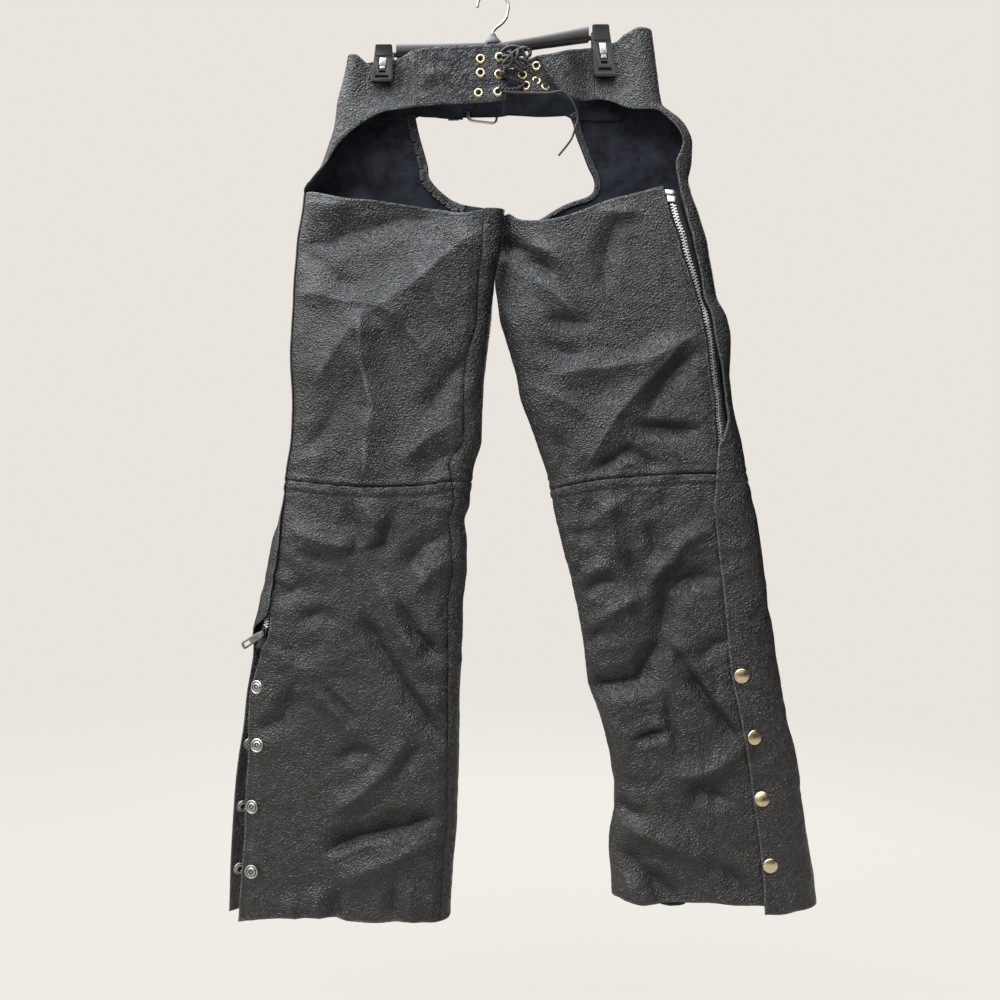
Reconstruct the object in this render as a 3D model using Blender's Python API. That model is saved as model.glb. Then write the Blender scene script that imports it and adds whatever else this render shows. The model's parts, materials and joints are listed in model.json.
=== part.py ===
"""Leather chaps that hang by their waist from a clip hanger, with the garment's back towards -Y.

Metres, +Z up, +X to the right of someone who looks at the back. The origin is the top of the inside of
the hook, where it rests on a rod. The tables below are in millimetres.

Each leg is a flattened tube. A point of the tube is given by `around`, the distance along the cloth from
the outer fold (negative on the near side, positive on the far side), and by its height `z`. A panel is an
outline in those two coordinates, filled with a mesh and given the leather's thickness.
"""

import math

import bmesh
import bpy
import numpy as np
from mathutils import Vector
from mathutils.geometry import delaunay_2d_cdt

MM = 0.001

LEATHER = 1.6
FACING = 1.2
SEAM_GAP = 0.5
LAY_GAP = 0.3
FLAP_LIFT = 3.6
LIFT_FADE = 45.0
TAPE_THICKNESS = 1.0
TAPE_WIDTH = 24.0
TAPE_DEPTH = 3.6
CHAIN_DEPTH = 1.5
CHAIN_THICKNESS = 2.2
CHAIN_WIDTH = 7.2
CHAIN_FROM_EDGE = 5.6
CHAIN_HEAD_HEIGHT = 8.0
CHAIN_HEAD_OVERHANG = 1.0
TAPE_TAIL = 26.0
FACING_WIDTH = 11.0

ROW_STEP = 35.0
COLUMN_STEP = 34.0
BELT_STEP = 15.0
TURNED_STEP = 8.0
EDGE_STEP = 24.0
FINE_EDGE_STEP = 11.0
FOLD_STEP = 6.0
CLIP_GRID_STEP = 12.0

OPEN_LIFT = 0.36
KNEE_FAR = -587.0
HIP_TOP = -240.0

EYELET_LIFT = {"left": 0.5, "right": 1.6}
EYELET_OUTER = 5.6
EYELET_INNER = 2.7
CAP_RADIUS = 8.6
STUD_RADIUS = 8.0
SOCKET_RADIUS = 7.6
LACE_RADIUS = 1.5

HOOK_RADIUS = 17.0
WIRE_RADIUS = 1.7

# Each finish: red, green, blue, roughness and metallic.
FINISHES = {
    "grain": (0.012, 0.012, 0.014, 0.42, 0.0),
    "flesh": (0.010, 0.012, 0.022, 0.95, 0.0),
    "tape": (0.010, 0.010, 0.011, 0.85, 0.0),
    "steel": (0.72, 0.72, 0.71, 0.28, 1.0),
    "brass": (0.72, 0.52, 0.20, 0.30, 1.0),
    "plastic": (0.022, 0.022, 0.024, 0.38, 0.0),
}

# Each leg's tube: height, outer fold, inner fold, half the tube's depth, and how far the fold's rounding
# reaches. Above the crotch the near and far walls part, and the inner fold is out of reach.
LEFT_TUBE = (
    (-50, -170, 200, 14, 20),
    (-76, -174, 200, 14, 22),
    (-98, -178, 200, 14, 24),
    (-134, -187, 200, 14, 26),
    (-160, -190, 200, 15, 28),
    (-182, -197, 200, 17, 32),
    (-210, -207, 200, 18, 35),
    (-228, -219, 110, 20, 38),
    (-238, -227, 60, 21, 40),
    (-262, -230, 15, 22, 43),
    (-296, -236, 11, 22, 45),
    (-320, -238, 8, 22, 45),
    (-344, -240, 3, 22, 45),
    (-368, -241, 0, 22, 45),
    (-392, -242, -2, 22, 45),
    (-440, -244, -8, 21, 45),
    (-488, -242, -12, 20, 44),
    (-536, -244, -13, 20, 44),
    (-570, -249, -23, 20, 42),
    (-596, -251, -27, 20, 42),
    (-614, -253, -28, 20, 42),
    (-632, -256, -34, 20, 42),
    (-656, -264, -31, 20, 42),
    (-692, -271, -31, 20, 42),
    (-710, -274, -33, 20, 42),
    (-728, -279, -36, 20.5, 42),
    (-752, -284, -36.5, 21, 42),
    (-776, -288.5, -37, 21, 42),
    (-805, -293, -38, 21, 42),
    (-843, -299.5, -40, 22, 42),
    (-882, -303.5, -40, 22, 42),
    (-920, -309.5, -40.5, 22.5, 42),
    (-959, -314, -42, 23, 42),
    (-997, -316.5, -43.5, 23, 42),
    (-1040, -319, -47, 24, 42),
    (-1088, -320.5, -50.5, 24, 42),
    (-1130, -321.5, -52, 24, 42),
)
RIGHT_TUBE = (
    (-30, 188, -200, 14, 20),
    (-50, 191, -200, 14, 22),
    (-97, 197, -200, 14, 24),
    (-135, 203, -200, 14, 26),
    (-147, 217, -200, 14.5, 27),
    (-152, 224, -200, 15, 28),
    (-164, 233, -200, 16, 30),
    (-180, 239, -200, 17, 32),
    (-204, 238, -200, 18, 35),
    (-226, 234, -110, 20, 38),
    (-241, 237, -40, 21, 40),
    (-262, 245, 9, 22, 43),
    (-281, 251, 8, 22, 43),
    (-300, 257, 7, 22, 45),
    (-320, 260, 4.5, 22, 45),
    (-344, 264, 3, 22, 45),
    (-368, 268, 6, 22, 45),
    (-392, 280, 9, 22, 45),
    (-416, 284, 16, 22, 45),
    (-458, 283, 28, 21, 45),
    (-488, 286, 34, 20, 44),
    (-512, 290.5, 43, 20, 44),
    (-536, 297, 52, 20, 44),
    (-584, 305, 67, 20, 42),
    (-632, 316, 77, 20, 42),
    (-680, 323, 89, 20, 42),
    (-728, 329, 100, 21, 42),
    (-776, 337, 108, 21, 42),
    (-824, 344, 114, 21, 42),
    (-872, 352, 131, 22, 42),
    (-920, 364, 142, 22, 42),
    (-968, 370, 146, 23, 42),
    (-1016, 377, 139, 23, 42),
    (-1064, 384, 142, 24, 42),
    (-1130, 390, 147, 24, 42),
)

# How far along the cloth from the inner fold the inseam lies: on the near side of the left leg, and just
# behind the fold of the right one.
LEFT_INSEAM = (
    (-262, 37),
    (-300, 37),
    (-326, 34.5),
    (-400, 31),
    (-443, 36.5),
    (-540, 35),
    (-560, 41),
    (-606, 32),
    (-752, 30),
    (-860, 26.5),
    (-1120, 25),
)
RIGHT_INSEAM = ((-262, -7), (-1120, -7))

# The near panel's zip edge and the flap's free edge, as distances along the cloth from the outer fold.
LEFT_ZIP_EDGE = (
    (-236, 8),
    (-600, 8),
    (-650, -4),
    (-690, -15),
    (-720, -22.5),
    (-744, -30),
    (-768, -33),
    (-792, -22),
    (-810, -17.5),
    (-830, -14),
    (-863, -15.3),
    (-921, -25.6),
    (-973, -29.3),
    (-1024, -31),
    (-1076, -28.3),
    (-1120, -26),
)
LEFT_FLAP_EDGE = (
    (-236, 2.5),
    (-600, 2.5),
    (-620, -3),
    (-635, -10),
    (-651, -19),
    (-670, -24),
    (-711, -24.5),
    (-735, -29),
    (-746, -27),
    (-757, -14),
    (-768, -2),
    (-776, 1),
    (-1120, 1),
)
# The same two edges of the right leg, as x on its near side.
RIGHT_ZIP_EDGE_X = (
    (-236, 199),
    (-258, 204),
    (-278, 209),
    (-313, 220),
    (-342, 230),
    (-370, 239),
    (-397, 245),
    (-433, 252),
    (-489, 260),
    (-522, 262),
    (-550, 263),
    (-600, 268),
    (-700, 286),
    (-770, 300),
    (-816, 310),
    (-888, 325),
    (-961, 334),
    (-1039, 343),
    (-1120, 350),
)
RIGHT_FLAP_EDGE_X = (
    (-236, 217),
    (-255, 221),
    (-300, 233),
    (-349, 244),
    (-408, 258),
    (-471, 270),
    (-508, 275),
    (-530, 271),
    (-546, 264),
    (-592, 261),
    (-619, 259),
    (-673, 265),
    (-726, 271),
    (-810, 279),
    (-858, 288),
    (-912, 298),
    (-999, 310),
    (-1120, 319),
)

# Free and sewn edges, as x and z where they lie.
LEFT_THIGH_TOP = (
    (-228, -240),
    (-179, -254),
    (-142, -256),
    (-94, -262),
    (-58, -269),
    (-36, -273),
    (-10, -269),
)
RIGHT_THIGH_TOP = (
    (198, -240),
    (176, -246),
    (133, -257),
    (103, -269),
    (73, -278),
    (44, -278.5),
    (30, -275),
    (20, -267),
)
LEFT_KNEE = ((-245, -585), (-159, -593), (-94, -592), (-75, -590), (-50, -586))
RIGHT_KNEE = ((70, -596), (90, -591), (130, -584), (213, -578), (266, -577))
LEFT_HEM = (
    (-298, -1104),
    (-284, -1101),
    (-246, -1098),
    (-199, -1097),
    (-171, -1101),
    (-143, -1103),
    (-96, -1102),
    (-62, -1105),
)
RIGHT_HEM = ((145, -1079), (190, -1081), (256, -1080), (290, -1083), (348, -1084))
LEFT_HEM_FAR = ((-316, -1106), (-250, -1099), (-150, -1098), (-54, -1102))
RIGHT_HEM_FAR = (
    (150, -1088),
    (190, -1094),
    (206, -1106),
    (233, -1105),
    (246, -1094),
    (300, -1088),
    (386, -1087),
)
RIGHT_FLAP_HEM = ((354, -1089), (336, -1092))
LEFT_HIP_EDGE = (
    (-96, -143.5),
    (-112, -144),
    (-126, -146),
    (-138, -151),
    (-159, -165),
    (-184, -188),
    (-198, -208),
    (-217, -232),
)
RIGHT_HIP_EDGE = (
    (122, -131),
    (134, -132),
    (143, -134.5),
    (152, -139.5),
    (160, -143),
    (171, -145.3),
    (183, -145.5),
    (196, -147),
    (205, -154),
    (218, -167),
    (225, -181),
    (222.5, -194),
    (216.5, -207),
    (215.5, -222),
    (217, -235),
)
LEFT_SEAT_EDGE = ((-95, -141), (-90, -164), (-80, -199), (-76, -218), (-49, -242), (-11, -253))
RIGHT_SEAT_EDGE = (
    (93, -141),
    (97, -150),
    (101, -165),
    (108, -182),
    (116, -202),
    (122.5, -215),
    (124, -225),
    (121, -233),
    (113, -238),
    (100, -242),
    (85, -248),
    (71, -256),
    (57, -264),
    (44, -269),
)
LEFT_WAIST_NEAR = ((-96, -75), (-115, -81), (-143, -89), (-162, -78))
LEFT_WAIST_FAR = ((-168, -77), (-150, -86))
RIGHT_WAIST_NEAR = ((122, -66), (147, -60.5), (156, -53.5), (171, -48.5))
RIGHT_WAIST_FAR = ((178, -48), (152, -62))

# Belts, as x and z outlines. Far ones lie 0.5 mm from the front panels that they are sewn to.
LEFT_BACK_BELT = (
    (-95.5, -75.5),
    (-60, -72),
    (-20, -70.5),
    (18.5, -69),
    (19, -98),
    (15.5, -134),
    (0, -137),
    (-20, -138.5),
    (-45, -139.3),
    (-62, -140.3),
    (-95.5, -143),
)
RIGHT_BACK_BELT = (
    (121.5, -66.5),
    (110, -68.5),
    (95, -73.5),
    (79, -78.5),
    (57, -84.5),
    (45, -85.5),
    (38, -88.5),
    (31, -94),
    (27, -108),
    (32.5, -127.5),
    (55, -127.5),
    (75, -127),
    (84, -131),
    (94, -135.5),
    (108, -134.5),
    (121.5, -130.8),
)
LEFT_FRONT_BELT = (
    (-149.2, -87),
    (-110, -80),
    (-70, -78),
    (-37, -80),
    (-37, -112),
    (-24, -113),
    (-24, -131),
    (-37, -132),
    (-37, -141.5),
    (-70, -140),
    (-110, -139.2),
    (-149.2, -138.6),
)
RIGHT_FRONT_BELT = (
    (151.2, -65),
    (130, -71),
    (90, -77),
    (50, -80),
    (12, -80),
    (12, -136),
    (50, -138),
    (93, -139.4),
    (122, -139),
    (151.2, -138.6),
)
STRAP = (
    (44, -109),
    (5, -110),
    (-40, -112),
    (-84, -113),
    (-94, -122),
    (-84, -134),
    (-40, -136),
    (5, -135),
    (44, -134),
)

# Clips on the waist: where the cloth is pinched together.
CLIPS = {
    "left": {"x": -131, "top": -67, "bottom": -111, "lean": -4.0},
    "right": {"x": 131, "top": -43, "bottom": -105, "lean": 6.0},
}
PINCH_WIDTH = 34.0
PINCH_HEIGHT = 42.0
PINCH_SHARE = 0.87
CLIP_BITE = 6.0
SAG = 9.0
SAG_SPAN = (118, 45)
SAG_HEIGHTS = (-245, -150)
FLAP_TOP = (-228, -205)
# Where the inner folds overlap below the crotch: the heights over which it ends, and its reach from the fold.
OVERLAP_END = (-400, -345)
OVERLAP_REACH = 90.0

# The largest folds: side, leg, the two ends of the line, half width, and how far the cloth stands out
# (positive) or sinks in (negative).
FOLD_COLUMNS = ("side", "leg", "x0", "z0", "x1", "z1", "width", "out")
FOLDS = (
    ("near", "left", -20, -297, -124, -372, 20, 4.0),
    ("near", "left", -235, -300, -150, -362, 18, -3.5),
    ("near", "left", -160, -392, -215, -470, 20, 4.0),
    ("near", "left", -160, -392, -142, -520, 20, 3.5),
    ("near", "left", -92, -510, -42, -440, 20, -4.0),
    ("near", "left", -160, -745, -60, -900, 22, -5.0),
    ("near", "left", -222, -825, -186, -868, 18, 3.5),
    ("near", "left", -290, -880, -232, -830, 18, -4.0),
    ("near", "left", -190, -1015, -64, -990, 16, -4.5),
    ("near", "left", -206, -1060, -208, -1110, 15, 3.5),
    ("near", "right", 140, -275, 130, -360, 20, -3.5),
    ("near", "right", 238, -410, 178, -448, 18, 3.5),
    ("near", "right", 212, -425, 110, -560, 20, 4.0),
    ("near", "right", 174, -522, 244, -524, 15, -4.0),
    ("near", "right", 255, -700, 205, -715, 18, -5.0),
    ("near", "right", 200, -722, 180, -820, 18, -5.0),
    ("near", "right", 205, -785, 290, -880, 20, 4.0),
    ("near", "right", 86, -712, 140, -690, 16, -3.5),
    ("near", "right", 155, -1000, 250, -1040, 20, 4.5),
    ("near", "right", 262, -1040, 310, -1080, 18, -4.0),
    ("far", "left", -60, -300, -150, -400, 22, 4.0),
    ("far", "left", -215, -420, -120, -505, 20, -4.0),
    ("far", "left", -70, -600, -190, -660, 20, -4.5),
    ("far", "left", -230, -700, -110, -820, 22, 4.5),
    ("far", "left", -90, -900, -240, -980, 20, -4.0),
    ("far", "right", 60, -320, 180, -420, 22, 4.0),
    ("far", "right", 240, -440, 120, -540, 20, -4.0),
    ("far", "right", 110, -640, 260, -700, 20, -4.5),
    ("far", "right", 290, -760, 170, -880, 22, 4.5),
    ("far", "right", 180, -960, 320, -1030, 20, -4.0),
)

# Hardware, as x and z on the cloth below it.
LEFT_EYELETS = ((-14.6, -87), (-14.6, -103.3), (-17, -127), (7.8, -84.6), (7.2, -105), (6, -126))
RIGHT_EYELETS = ((51.5, -95.5), (39, -120), (35, -107.3), (51.5, -112.3), (62, -120))
LEFT_STUDS = ((-277.5, -829), (-276, -896.5), (-281.8, -968), (-282, -1043))
LEFT_SOCKET_HEIGHTS = (-834, -904, -980, -1056)
RIGHT_CAPS = ((290.6, -814), (304.8, -885), (314.2, -957.5), (323.5, -1035))
LEFT_SOCKET_IN = 13.0
ZIP_TOP = -243.0
ZIP_END = {"left": -758.5, "right": -766.0}
SLIDER_BELOW = 7.0
SLIDER = {"half_width": 3.6, "half_length": 6.3, "low": -2.0, "top": 2.2, "covered_top": 0.6}
PULL_LENGTH = 28.0
PULL_WIDTH = 9.5
PULL_THICKNESS = 1.2
PULL_LEAN = 48.0
PULL_SWING = 26.0

BUCKLE = {"left": -31, "right": 4, "top": -103, "bottom": -141, "wire": 1.9}
STRAP_LIFT = 7.0
STRAP_RISE = {"right": (28, 6), "left": (-50, -80)}


# ---------------------------------------------------------------- scene and materials


def clear_scene():
    for item in list(bpy.data.objects):
        bpy.data.objects.remove(item, do_unlink=True)


def make_material(name):
    red, green, blue, roughness, metallic = FINISHES[name]
    material = bpy.data.materials.new(name)
    material.use_nodes = True
    shader = material.node_tree.nodes["Principled BSDF"]
    shader.inputs["Base Color"].default_value = (red, green, blue, 1.0)
    shader.inputs["Roughness"].default_value = roughness
    shader.inputs["Metallic"].default_value = metallic
    return material


def add_object(name, work, material, smooth=True):
    """Makes an object of this bmesh, whose points are in millimetres."""
    work.normal_update()
    bmesh.ops.recalc_face_normals(work, faces=work.faces)
    bmesh.ops.scale(work, vec=(MM, MM, MM), verts=work.verts)
    mesh = bpy.data.meshes.new(name)
    work.to_mesh(mesh)
    work.free()
    if smooth:
        mesh.shade_smooth()
        mesh.set_sharp_from_angle(angle=math.radians(50))
    item = bpy.data.objects.new(name, mesh)
    bpy.context.scene.collection.objects.link(item)
    item.data.materials.append(materials[material])
    return item


# ---------------------------------------------------------------- the cloth's form


def smooth_step(low, high, value):
    """0 at low, 1 at high and beyond; low may be the greater of the two."""
    share = np.clip((np.asarray(value, float) - low) / (high - low), 0, 1)
    return share * share * (3 - 2 * share)


def along(rows, at):
    """Linear reading of a table of (z, value) rows that run downwards."""
    table = np.array(rows, float)[::-1]
    return np.interp(at, table[:, 0], table[:, 1])


def tube_at(leg, z):
    """The tube's outer fold, inner fold, depth and rounding at height z, read smoothly from its sections."""
    table = np.array(leg["tube"], float)[::-1]
    heights = table[:, 0]
    z = np.clip(np.asarray(z, float), heights[0], heights[-1])
    row = np.clip(np.searchsorted(heights, z) - 1, 0, len(heights) - 2)
    step = np.diff(heights)
    slopes = np.diff(table[:, 1:], axis=0) / step[:, None]
    # Slopes at the sections: none where the fold turns, so that nothing overshoots.
    tangents = np.zeros_like(table[:, 1:])
    same_way = slopes[1:] * slopes[:-1] > 0
    total = np.where(same_way, slopes[1:] + slopes[:-1], 1)
    tangents[1:-1] = np.where(same_way, 2 * slopes[1:] * slopes[:-1] / total, 0)
    share = (z - heights[row]) / step[row]
    length = step[row]
    low, high = table[row, 1:], table[row + 1, 1:]
    s = share[..., None]
    value = (
        low * (1 + 2 * s) * (1 - s) ** 2
        + high * s * s * (3 - 2 * s)
        + length[..., None] * (tangents[row] * s * (1 - s) ** 2 - tangents[row + 1] * s * s * (1 - s))
    )
    outer = value[..., 0] - leg["sign"] * (flap_lift(leg, z) + LEATHER / 2)
    inner = value[..., 1] + leg["sign"] * LEATHER / 2
    return outer, inner, value[..., 2], value[..., 3]


def flap_lift(leg, z):
    """How far the front panel stands off the back one where it covers it and the zip."""
    return FLAP_LIFT * smooth_step(*leg["lift_end"], z) * (1 - smooth_step(*FLAP_TOP, z))


def fold_arc(depth, rounding):
    """Length of the cloth round a quarter of the fold."""
    return math.pi / 2 * np.sqrt((rounding**2 + depth**2) / 2)


def half_length(leg, z):
    """Distance along the cloth from the outer fold to the inner one."""
    outer, inner, depth, rounding = tube_at(leg, z)
    return 2 * fold_arc(depth, rounding) + np.abs(outer - inner) - 2 * rounding


def pinch(x, z):
    """Share of the depth that the clips leave, least where a clip bites."""
    share = np.ones(np.broadcast(x, z).shape)
    for clip in CLIPS.values():
        below = np.minimum(z - (clip["bottom"] + CLIP_BITE), 0)
        near = np.exp(-(((x - clip["x"]) / PINCH_WIDTH) ** 4) - (below / PINCH_HEIGHT) ** 2)
        share = share - PINCH_SHARE * near
    return share


def front_sag(x, z):
    """How far the front of the waist hangs away from the back, between the clips."""
    return SAG * smooth_step(*SAG_SPAN, np.abs(x)) * smooth_step(*SAG_HEIGHTS, z)


def folds_out(side, leg_name, x, z):
    """How far the large folds push the cloth outwards."""
    total = np.zeros(np.broadcast(x, z).shape)
    for row in FOLDS:
        fold = dict(zip(FOLD_COLUMNS, row))
        if fold["side"] != side or fold["leg"] != leg_name:
            continue
        start = np.array((fold["x0"], fold["z0"]), float)
        line = np.array((fold["x1"], fold["z1"]), float) - start
        share = ((x - start[0]) * line[0] + (z - start[1]) * line[1]) / line.dot(line)
        share = np.clip(share, 0, 1)
        away = np.hypot(x - start[0] - share * line[0], z - start[1] - share * line[1])
        total = total + fold["out"] * np.exp(-((away / fold["width"]) ** 2))
    return total


def opened(leg, z):
    """1 where the leg's outer side is unsnapped, so that its two walls end apart instead of in a fold."""
    return smooth_step(*leg["opens"], z)


def tube_profile(way, arc, flat, rounding, open_share):
    """How far across the tube, and what share of its depth, the cloth is at this distance from the fold."""
    half = 2 * arc + flat
    share = np.clip(way / arc, 0, 1)
    turn = share * math.pi / 2
    turn_in = np.clip((half - way) / arc, 0, 1) * math.pi / 2
    fold_reach = rounding * (1 - np.cos(turn)) * (1 - open_share) + rounding * share * open_share
    reach = np.where(
        way < arc,
        fold_reach,
        np.where(half - way < arc, rounding + flat + rounding * np.cos(turn_in), rounding + way - arc),
    )
    lift = np.sin(turn) * (1 - open_share) + (OPEN_LIFT + (1 - OPEN_LIFT) * np.sin(turn)) * open_share
    return reach, lift * np.sin(turn_in)


def set_back(leg, from_fold, z):
    """How far back the leg lies at this distance from its inner fold, so that the two legs pass each other."""
    share = smooth_step(*OVERLAP_END, z) * (1 - smooth_step(0, OVERLAP_REACH, from_fold))
    return leg["set_back"] * share


def leg_middle(leg, around, z):
    """Points of the middle of the leather on a leg's tube."""
    around = np.asarray(around, float)
    outer, inner, depth, rounding = tube_at(leg, z)
    arc = fold_arc(depth, rounding)
    flat = np.abs(outer - inner) - 2 * rounding
    half = 2 * arc + flat
    # Past the inner fold the cloth comes back along the other side.
    past = np.abs(around) > half
    far = (around > 0) ^ past
    way = np.where(past, 2 * half - np.abs(around), np.abs(around))
    reach, bulge = tube_profile(way, arc, flat, rounding, opened(leg, z))
    x = outer - leg["sign"] * reach
    out_near = folds_out("near", leg["name"], x, z)
    out_far = folds_out("far", leg["name"], x, z)
    swell = depth * pinch(x, z) + np.where(far, out_far + front_sag(x, z), out_near)
    y = np.where(far, 1, -1) * swell * bulge + set_back(leg, half - way, z)
    return np.stack((x, y, np.broadcast_to(z, x.shape)), axis=-1)


def leg_surface(leg):
    """A function of (around, z, out): points `out` millimetres outside the middle of the leather."""

    def place(around, z, out):
        around, z = np.asarray(around, float), np.asarray(z, float)
        step = 0.5
        across = leg_middle(leg, around + step, z) - leg_middle(leg, around - step, z)
        up = leg_middle(leg, around, z + step) - leg_middle(leg, around, z - step)
        normal = leg["sign"] * np.cross(across, up)
        normal /= np.linalg.norm(normal, axis=-1, keepdims=True)
        return leg_middle(leg, around, z) + normal * np.asarray(out, float)[..., None]

    return place


def front_lift(leg, around, z):
    """The lift of the front panel, which dies away on the far side."""
    reach = leg["lift_reach"]
    return flap_lift(leg, z) * (1 - smooth_step(reach, reach + LIFT_FADE, around))


def front_surface(leg):
    base = leg_surface(leg)
    return lambda around, z, out: base(around, z, np.asarray(out) + front_lift(leg, around, z))


def belt_surface(side, lift=0.0):
    """The waist between the hips: a function of (x, z, out) on the near or the far belt."""

    def middle(x, z):
        shape = 14 * pinch(x, z)
        if side == "near":
            y = -shape - near_belt_folds(x, z)
        else:
            y = shape + front_sag(x, z)
        return np.stack((x, y, z), axis=-1)

    def place(x, z, out):
        x, z = np.asarray(x, float), np.asarray(z, float)
        step = 0.5
        across = middle(x + step, z) - middle(x - step, z)
        up = middle(x, z + step) - middle(x, z - step)
        normal = np.cross(across, up) * (1 if side == "near" else -1)
        normal /= np.linalg.norm(normal, axis=-1, keepdims=True)
        return middle(x, z) + normal * (np.asarray(out, float) + lift)[..., None]

    return place


# The turned end of the right laced belt: two creases that run down to the right across it.
TURNED_END = (
    {"x0": 56, "z0": -80, "x1": 88, "z1": -128, "width": 9, "out": 4.0},
    {"x0": 32, "z0": -90, "x1": 76, "z1": -122, "width": 8, "out": -2.2},
)


def near_belt_folds(x, z):
    total = np.zeros(np.broadcast(x, z).shape)
    for fold in TURNED_END:
        line = np.array((fold["x1"] - fold["x0"], fold["z1"] - fold["z0"]), float)
        share = np.clip(((x - fold["x0"]) * line[0] + (z - fold["z0"]) * line[1]) / line.dot(line), 0, 1)
        away = np.hypot(x - fold["x0"] - share * line[0], z - fold["z0"] - share * line[1])
        total = total + fold["out"] * np.exp(-((away / fold["width"]) ** 2))
    return total


def near_around(leg, x, z):
    """The distance along the cloth, negative on the near side, of one point of the tube at x."""
    outer, inner, depth, rounding = tube_at(leg, z)
    arc = fold_arc(depth, rounding)
    flat = np.abs(outer - inner) - 2 * rounding
    ways = np.linspace(0, 2 * arc + flat, 600)
    reach, _ = tube_profile(ways, arc, flat, rounding, opened(leg, z))
    return -np.interp((outer - x) * leg["sign"], reach, ways)


# ---------------------------------------------------------------- panels


def steps_between(start, end, most):
    """Values from start to end, both left out, no further apart than `most`."""
    count = max(int(abs(end - start) / most), 0)
    return [start + (end - start) * (i + 1) / (count + 1) for i in range(count)]


def spaced(points, most=EDGE_STEP):
    """The same open outline with points added on its long stretches."""
    result = []
    for start, end in zip(points[:-1], points[1:]):
        count = max(int(math.dist(start, end) / most), 0) + 1
        for i in range(count):
            share = i / count
            result.append(tuple(a + (b - a) * share for a, b in zip(start, end)))
    result.append(tuple(points[-1]))
    return result


def inside(point, outline):
    x, z = point
    crossings = 0
    for (x0, z0), (x1, z1) in zip(outline, outline[1:] + outline[:1]):
        if (z0 > z) != (z1 > z) and x < x0 + (z - z0) * (x1 - x0) / (z1 - z0):
            crossings += 1
    return crossings % 2 == 1


def clear_of(point, outline, margin):
    ends = np.array(outline)
    line = np.roll(ends, -1, axis=0) - ends
    offset = np.array(point) - ends
    share = np.clip((offset * line).sum(1) / np.maximum((line * line).sum(1), 1e-9), 0, 1)
    return np.hypot(*(offset - line * share[:, None]).T).min() > margin


def add_panel(name, material, outline, grid, place, thickness=LEATHER, margin=8.0):
    """A closed wall: the outline filled with triangles through the grid's points, then given thickness."""
    outline = [tuple(map(float, point)) for point in outline]
    points = outline + [p for p in grid if inside(p, outline) and clear_of(p, outline, margin)]
    edges = [(i, (i + 1) % len(outline)) for i in range(len(outline))]
    filled = delaunay_2d_cdt([Vector(p) for p in points], edges, [list(range(len(outline)))], 1, 1e-5)
    flat = np.array([tuple(p) for p in filled[0]])
    faces = [tuple(face) for face in filled[2]]
    outer = place(flat[:, 0], flat[:, 1], np.full(len(flat), thickness / 2))
    inner = place(flat[:, 0], flat[:, 1], np.full(len(flat), -thickness / 2))
    work = bmesh.new()
    outer_verts = [work.verts.new(p) for p in outer]
    inner_verts = [work.verts.new(p) for p in inner]
    uses = {}
    for face in faces:
        work.faces.new([outer_verts[i] for i in face])
        work.faces.new([inner_verts[i] for i in reversed(face)])
        for i, j in zip(face, face[1:] + face[:1]):
            uses[(i, j)] = True
    for i, j in uses:
        if (j, i) not in uses:
            work.faces.new((outer_verts[j], outer_verts[i], inner_verts[i], inner_verts[j]))
    return add_object(name, work, material)


FOLD_WAYS = (0, 6, 13, 22, 34, 48)


def columns_at(leg, z):
    """Distances along the cloth at which points stand, closer together round both folds."""
    half = float(half_length(leg, z))
    middle = steps_between(FOLD_WAYS[-1], half - FOLD_WAYS[-1], COLUMN_STEP)
    ways = list(FOLD_WAYS) + middle + [half - way for way in reversed(FOLD_WAYS)]
    return sorted({way * side for way in ways for side in (-1, 1)} | {half + 8, half + 18})


def leg_grid(leg):
    """Points that follow both folds, in rows; both panels of a leg use the same ones."""
    points = [(way, float(z)) for z in np.arange(-44, -1120, -ROW_STEP) for way in columns_at(leg, z)]
    points += [(way, z) for z in leg["hip_rows"] for way in columns_at(leg, z) if abs(way) < FOLD_WAYS[-1]]
    clip = CLIPS[leg["name"]]
    reach = 2 * CLIP_GRID_STEP
    for x in np.arange(clip["x"] - reach, clip["x"] + reach + 1, CLIP_GRID_STEP):
        for z in np.arange(clip["top"] - CLIP_GRID_STEP, clip["bottom"] - reach, -CLIP_GRID_STEP):
            way = float(near_around(leg, x, z))
            points += [(way, z), (-way, z)]
    return points


def belt_grid(low, high, step=BELT_STEP):
    return [(x, z) for x in np.arange(low, high, step) for z in np.arange(-40, -160, -step)]


def edge_line(reader, top, bottom):
    """Points of an edge that is given as a distance for each height, from top to bottom.

    The heights between the ends are the same ones for every edge, so that sewn edges run side by side.
    """
    shared = np.arange(0, -1200, -EDGE_STEP)
    heights = [top] + [float(z) for z in shared if bottom + 5 < z < top - 5] + [bottom]
    return [(float(reader(z)), z) for z in heights]


def near_line(leg, rows, most=EDGE_STEP):
    """Points given as x and z on the near side, in the tube's own coordinates."""
    return [(float(near_around(leg, x, z)), z) for x, z in spaced(list(rows), most)]


def far_line(leg, rows, most=EDGE_STEP):
    return [(-around, z) for around, z in near_line(leg, rows, most)]


def zip_edge(leg, z):
    if "zip_edge" in leg:
        return along(leg["zip_edge"], z)
    return near_around(leg, along(leg["zip_edge_x"], z), z)


def flap_edge(leg, z):
    if "flap_edge" in leg:
        return along(leg["flap_edge"], z)
    return near_around(leg, along(leg["flap_edge_x"], z), z)


def inseam(leg, z):
    """The seam between both panels near the inner fold, on the near side's scale."""
    return along(leg["inseam"], z) - half_length(leg, z)


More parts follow.
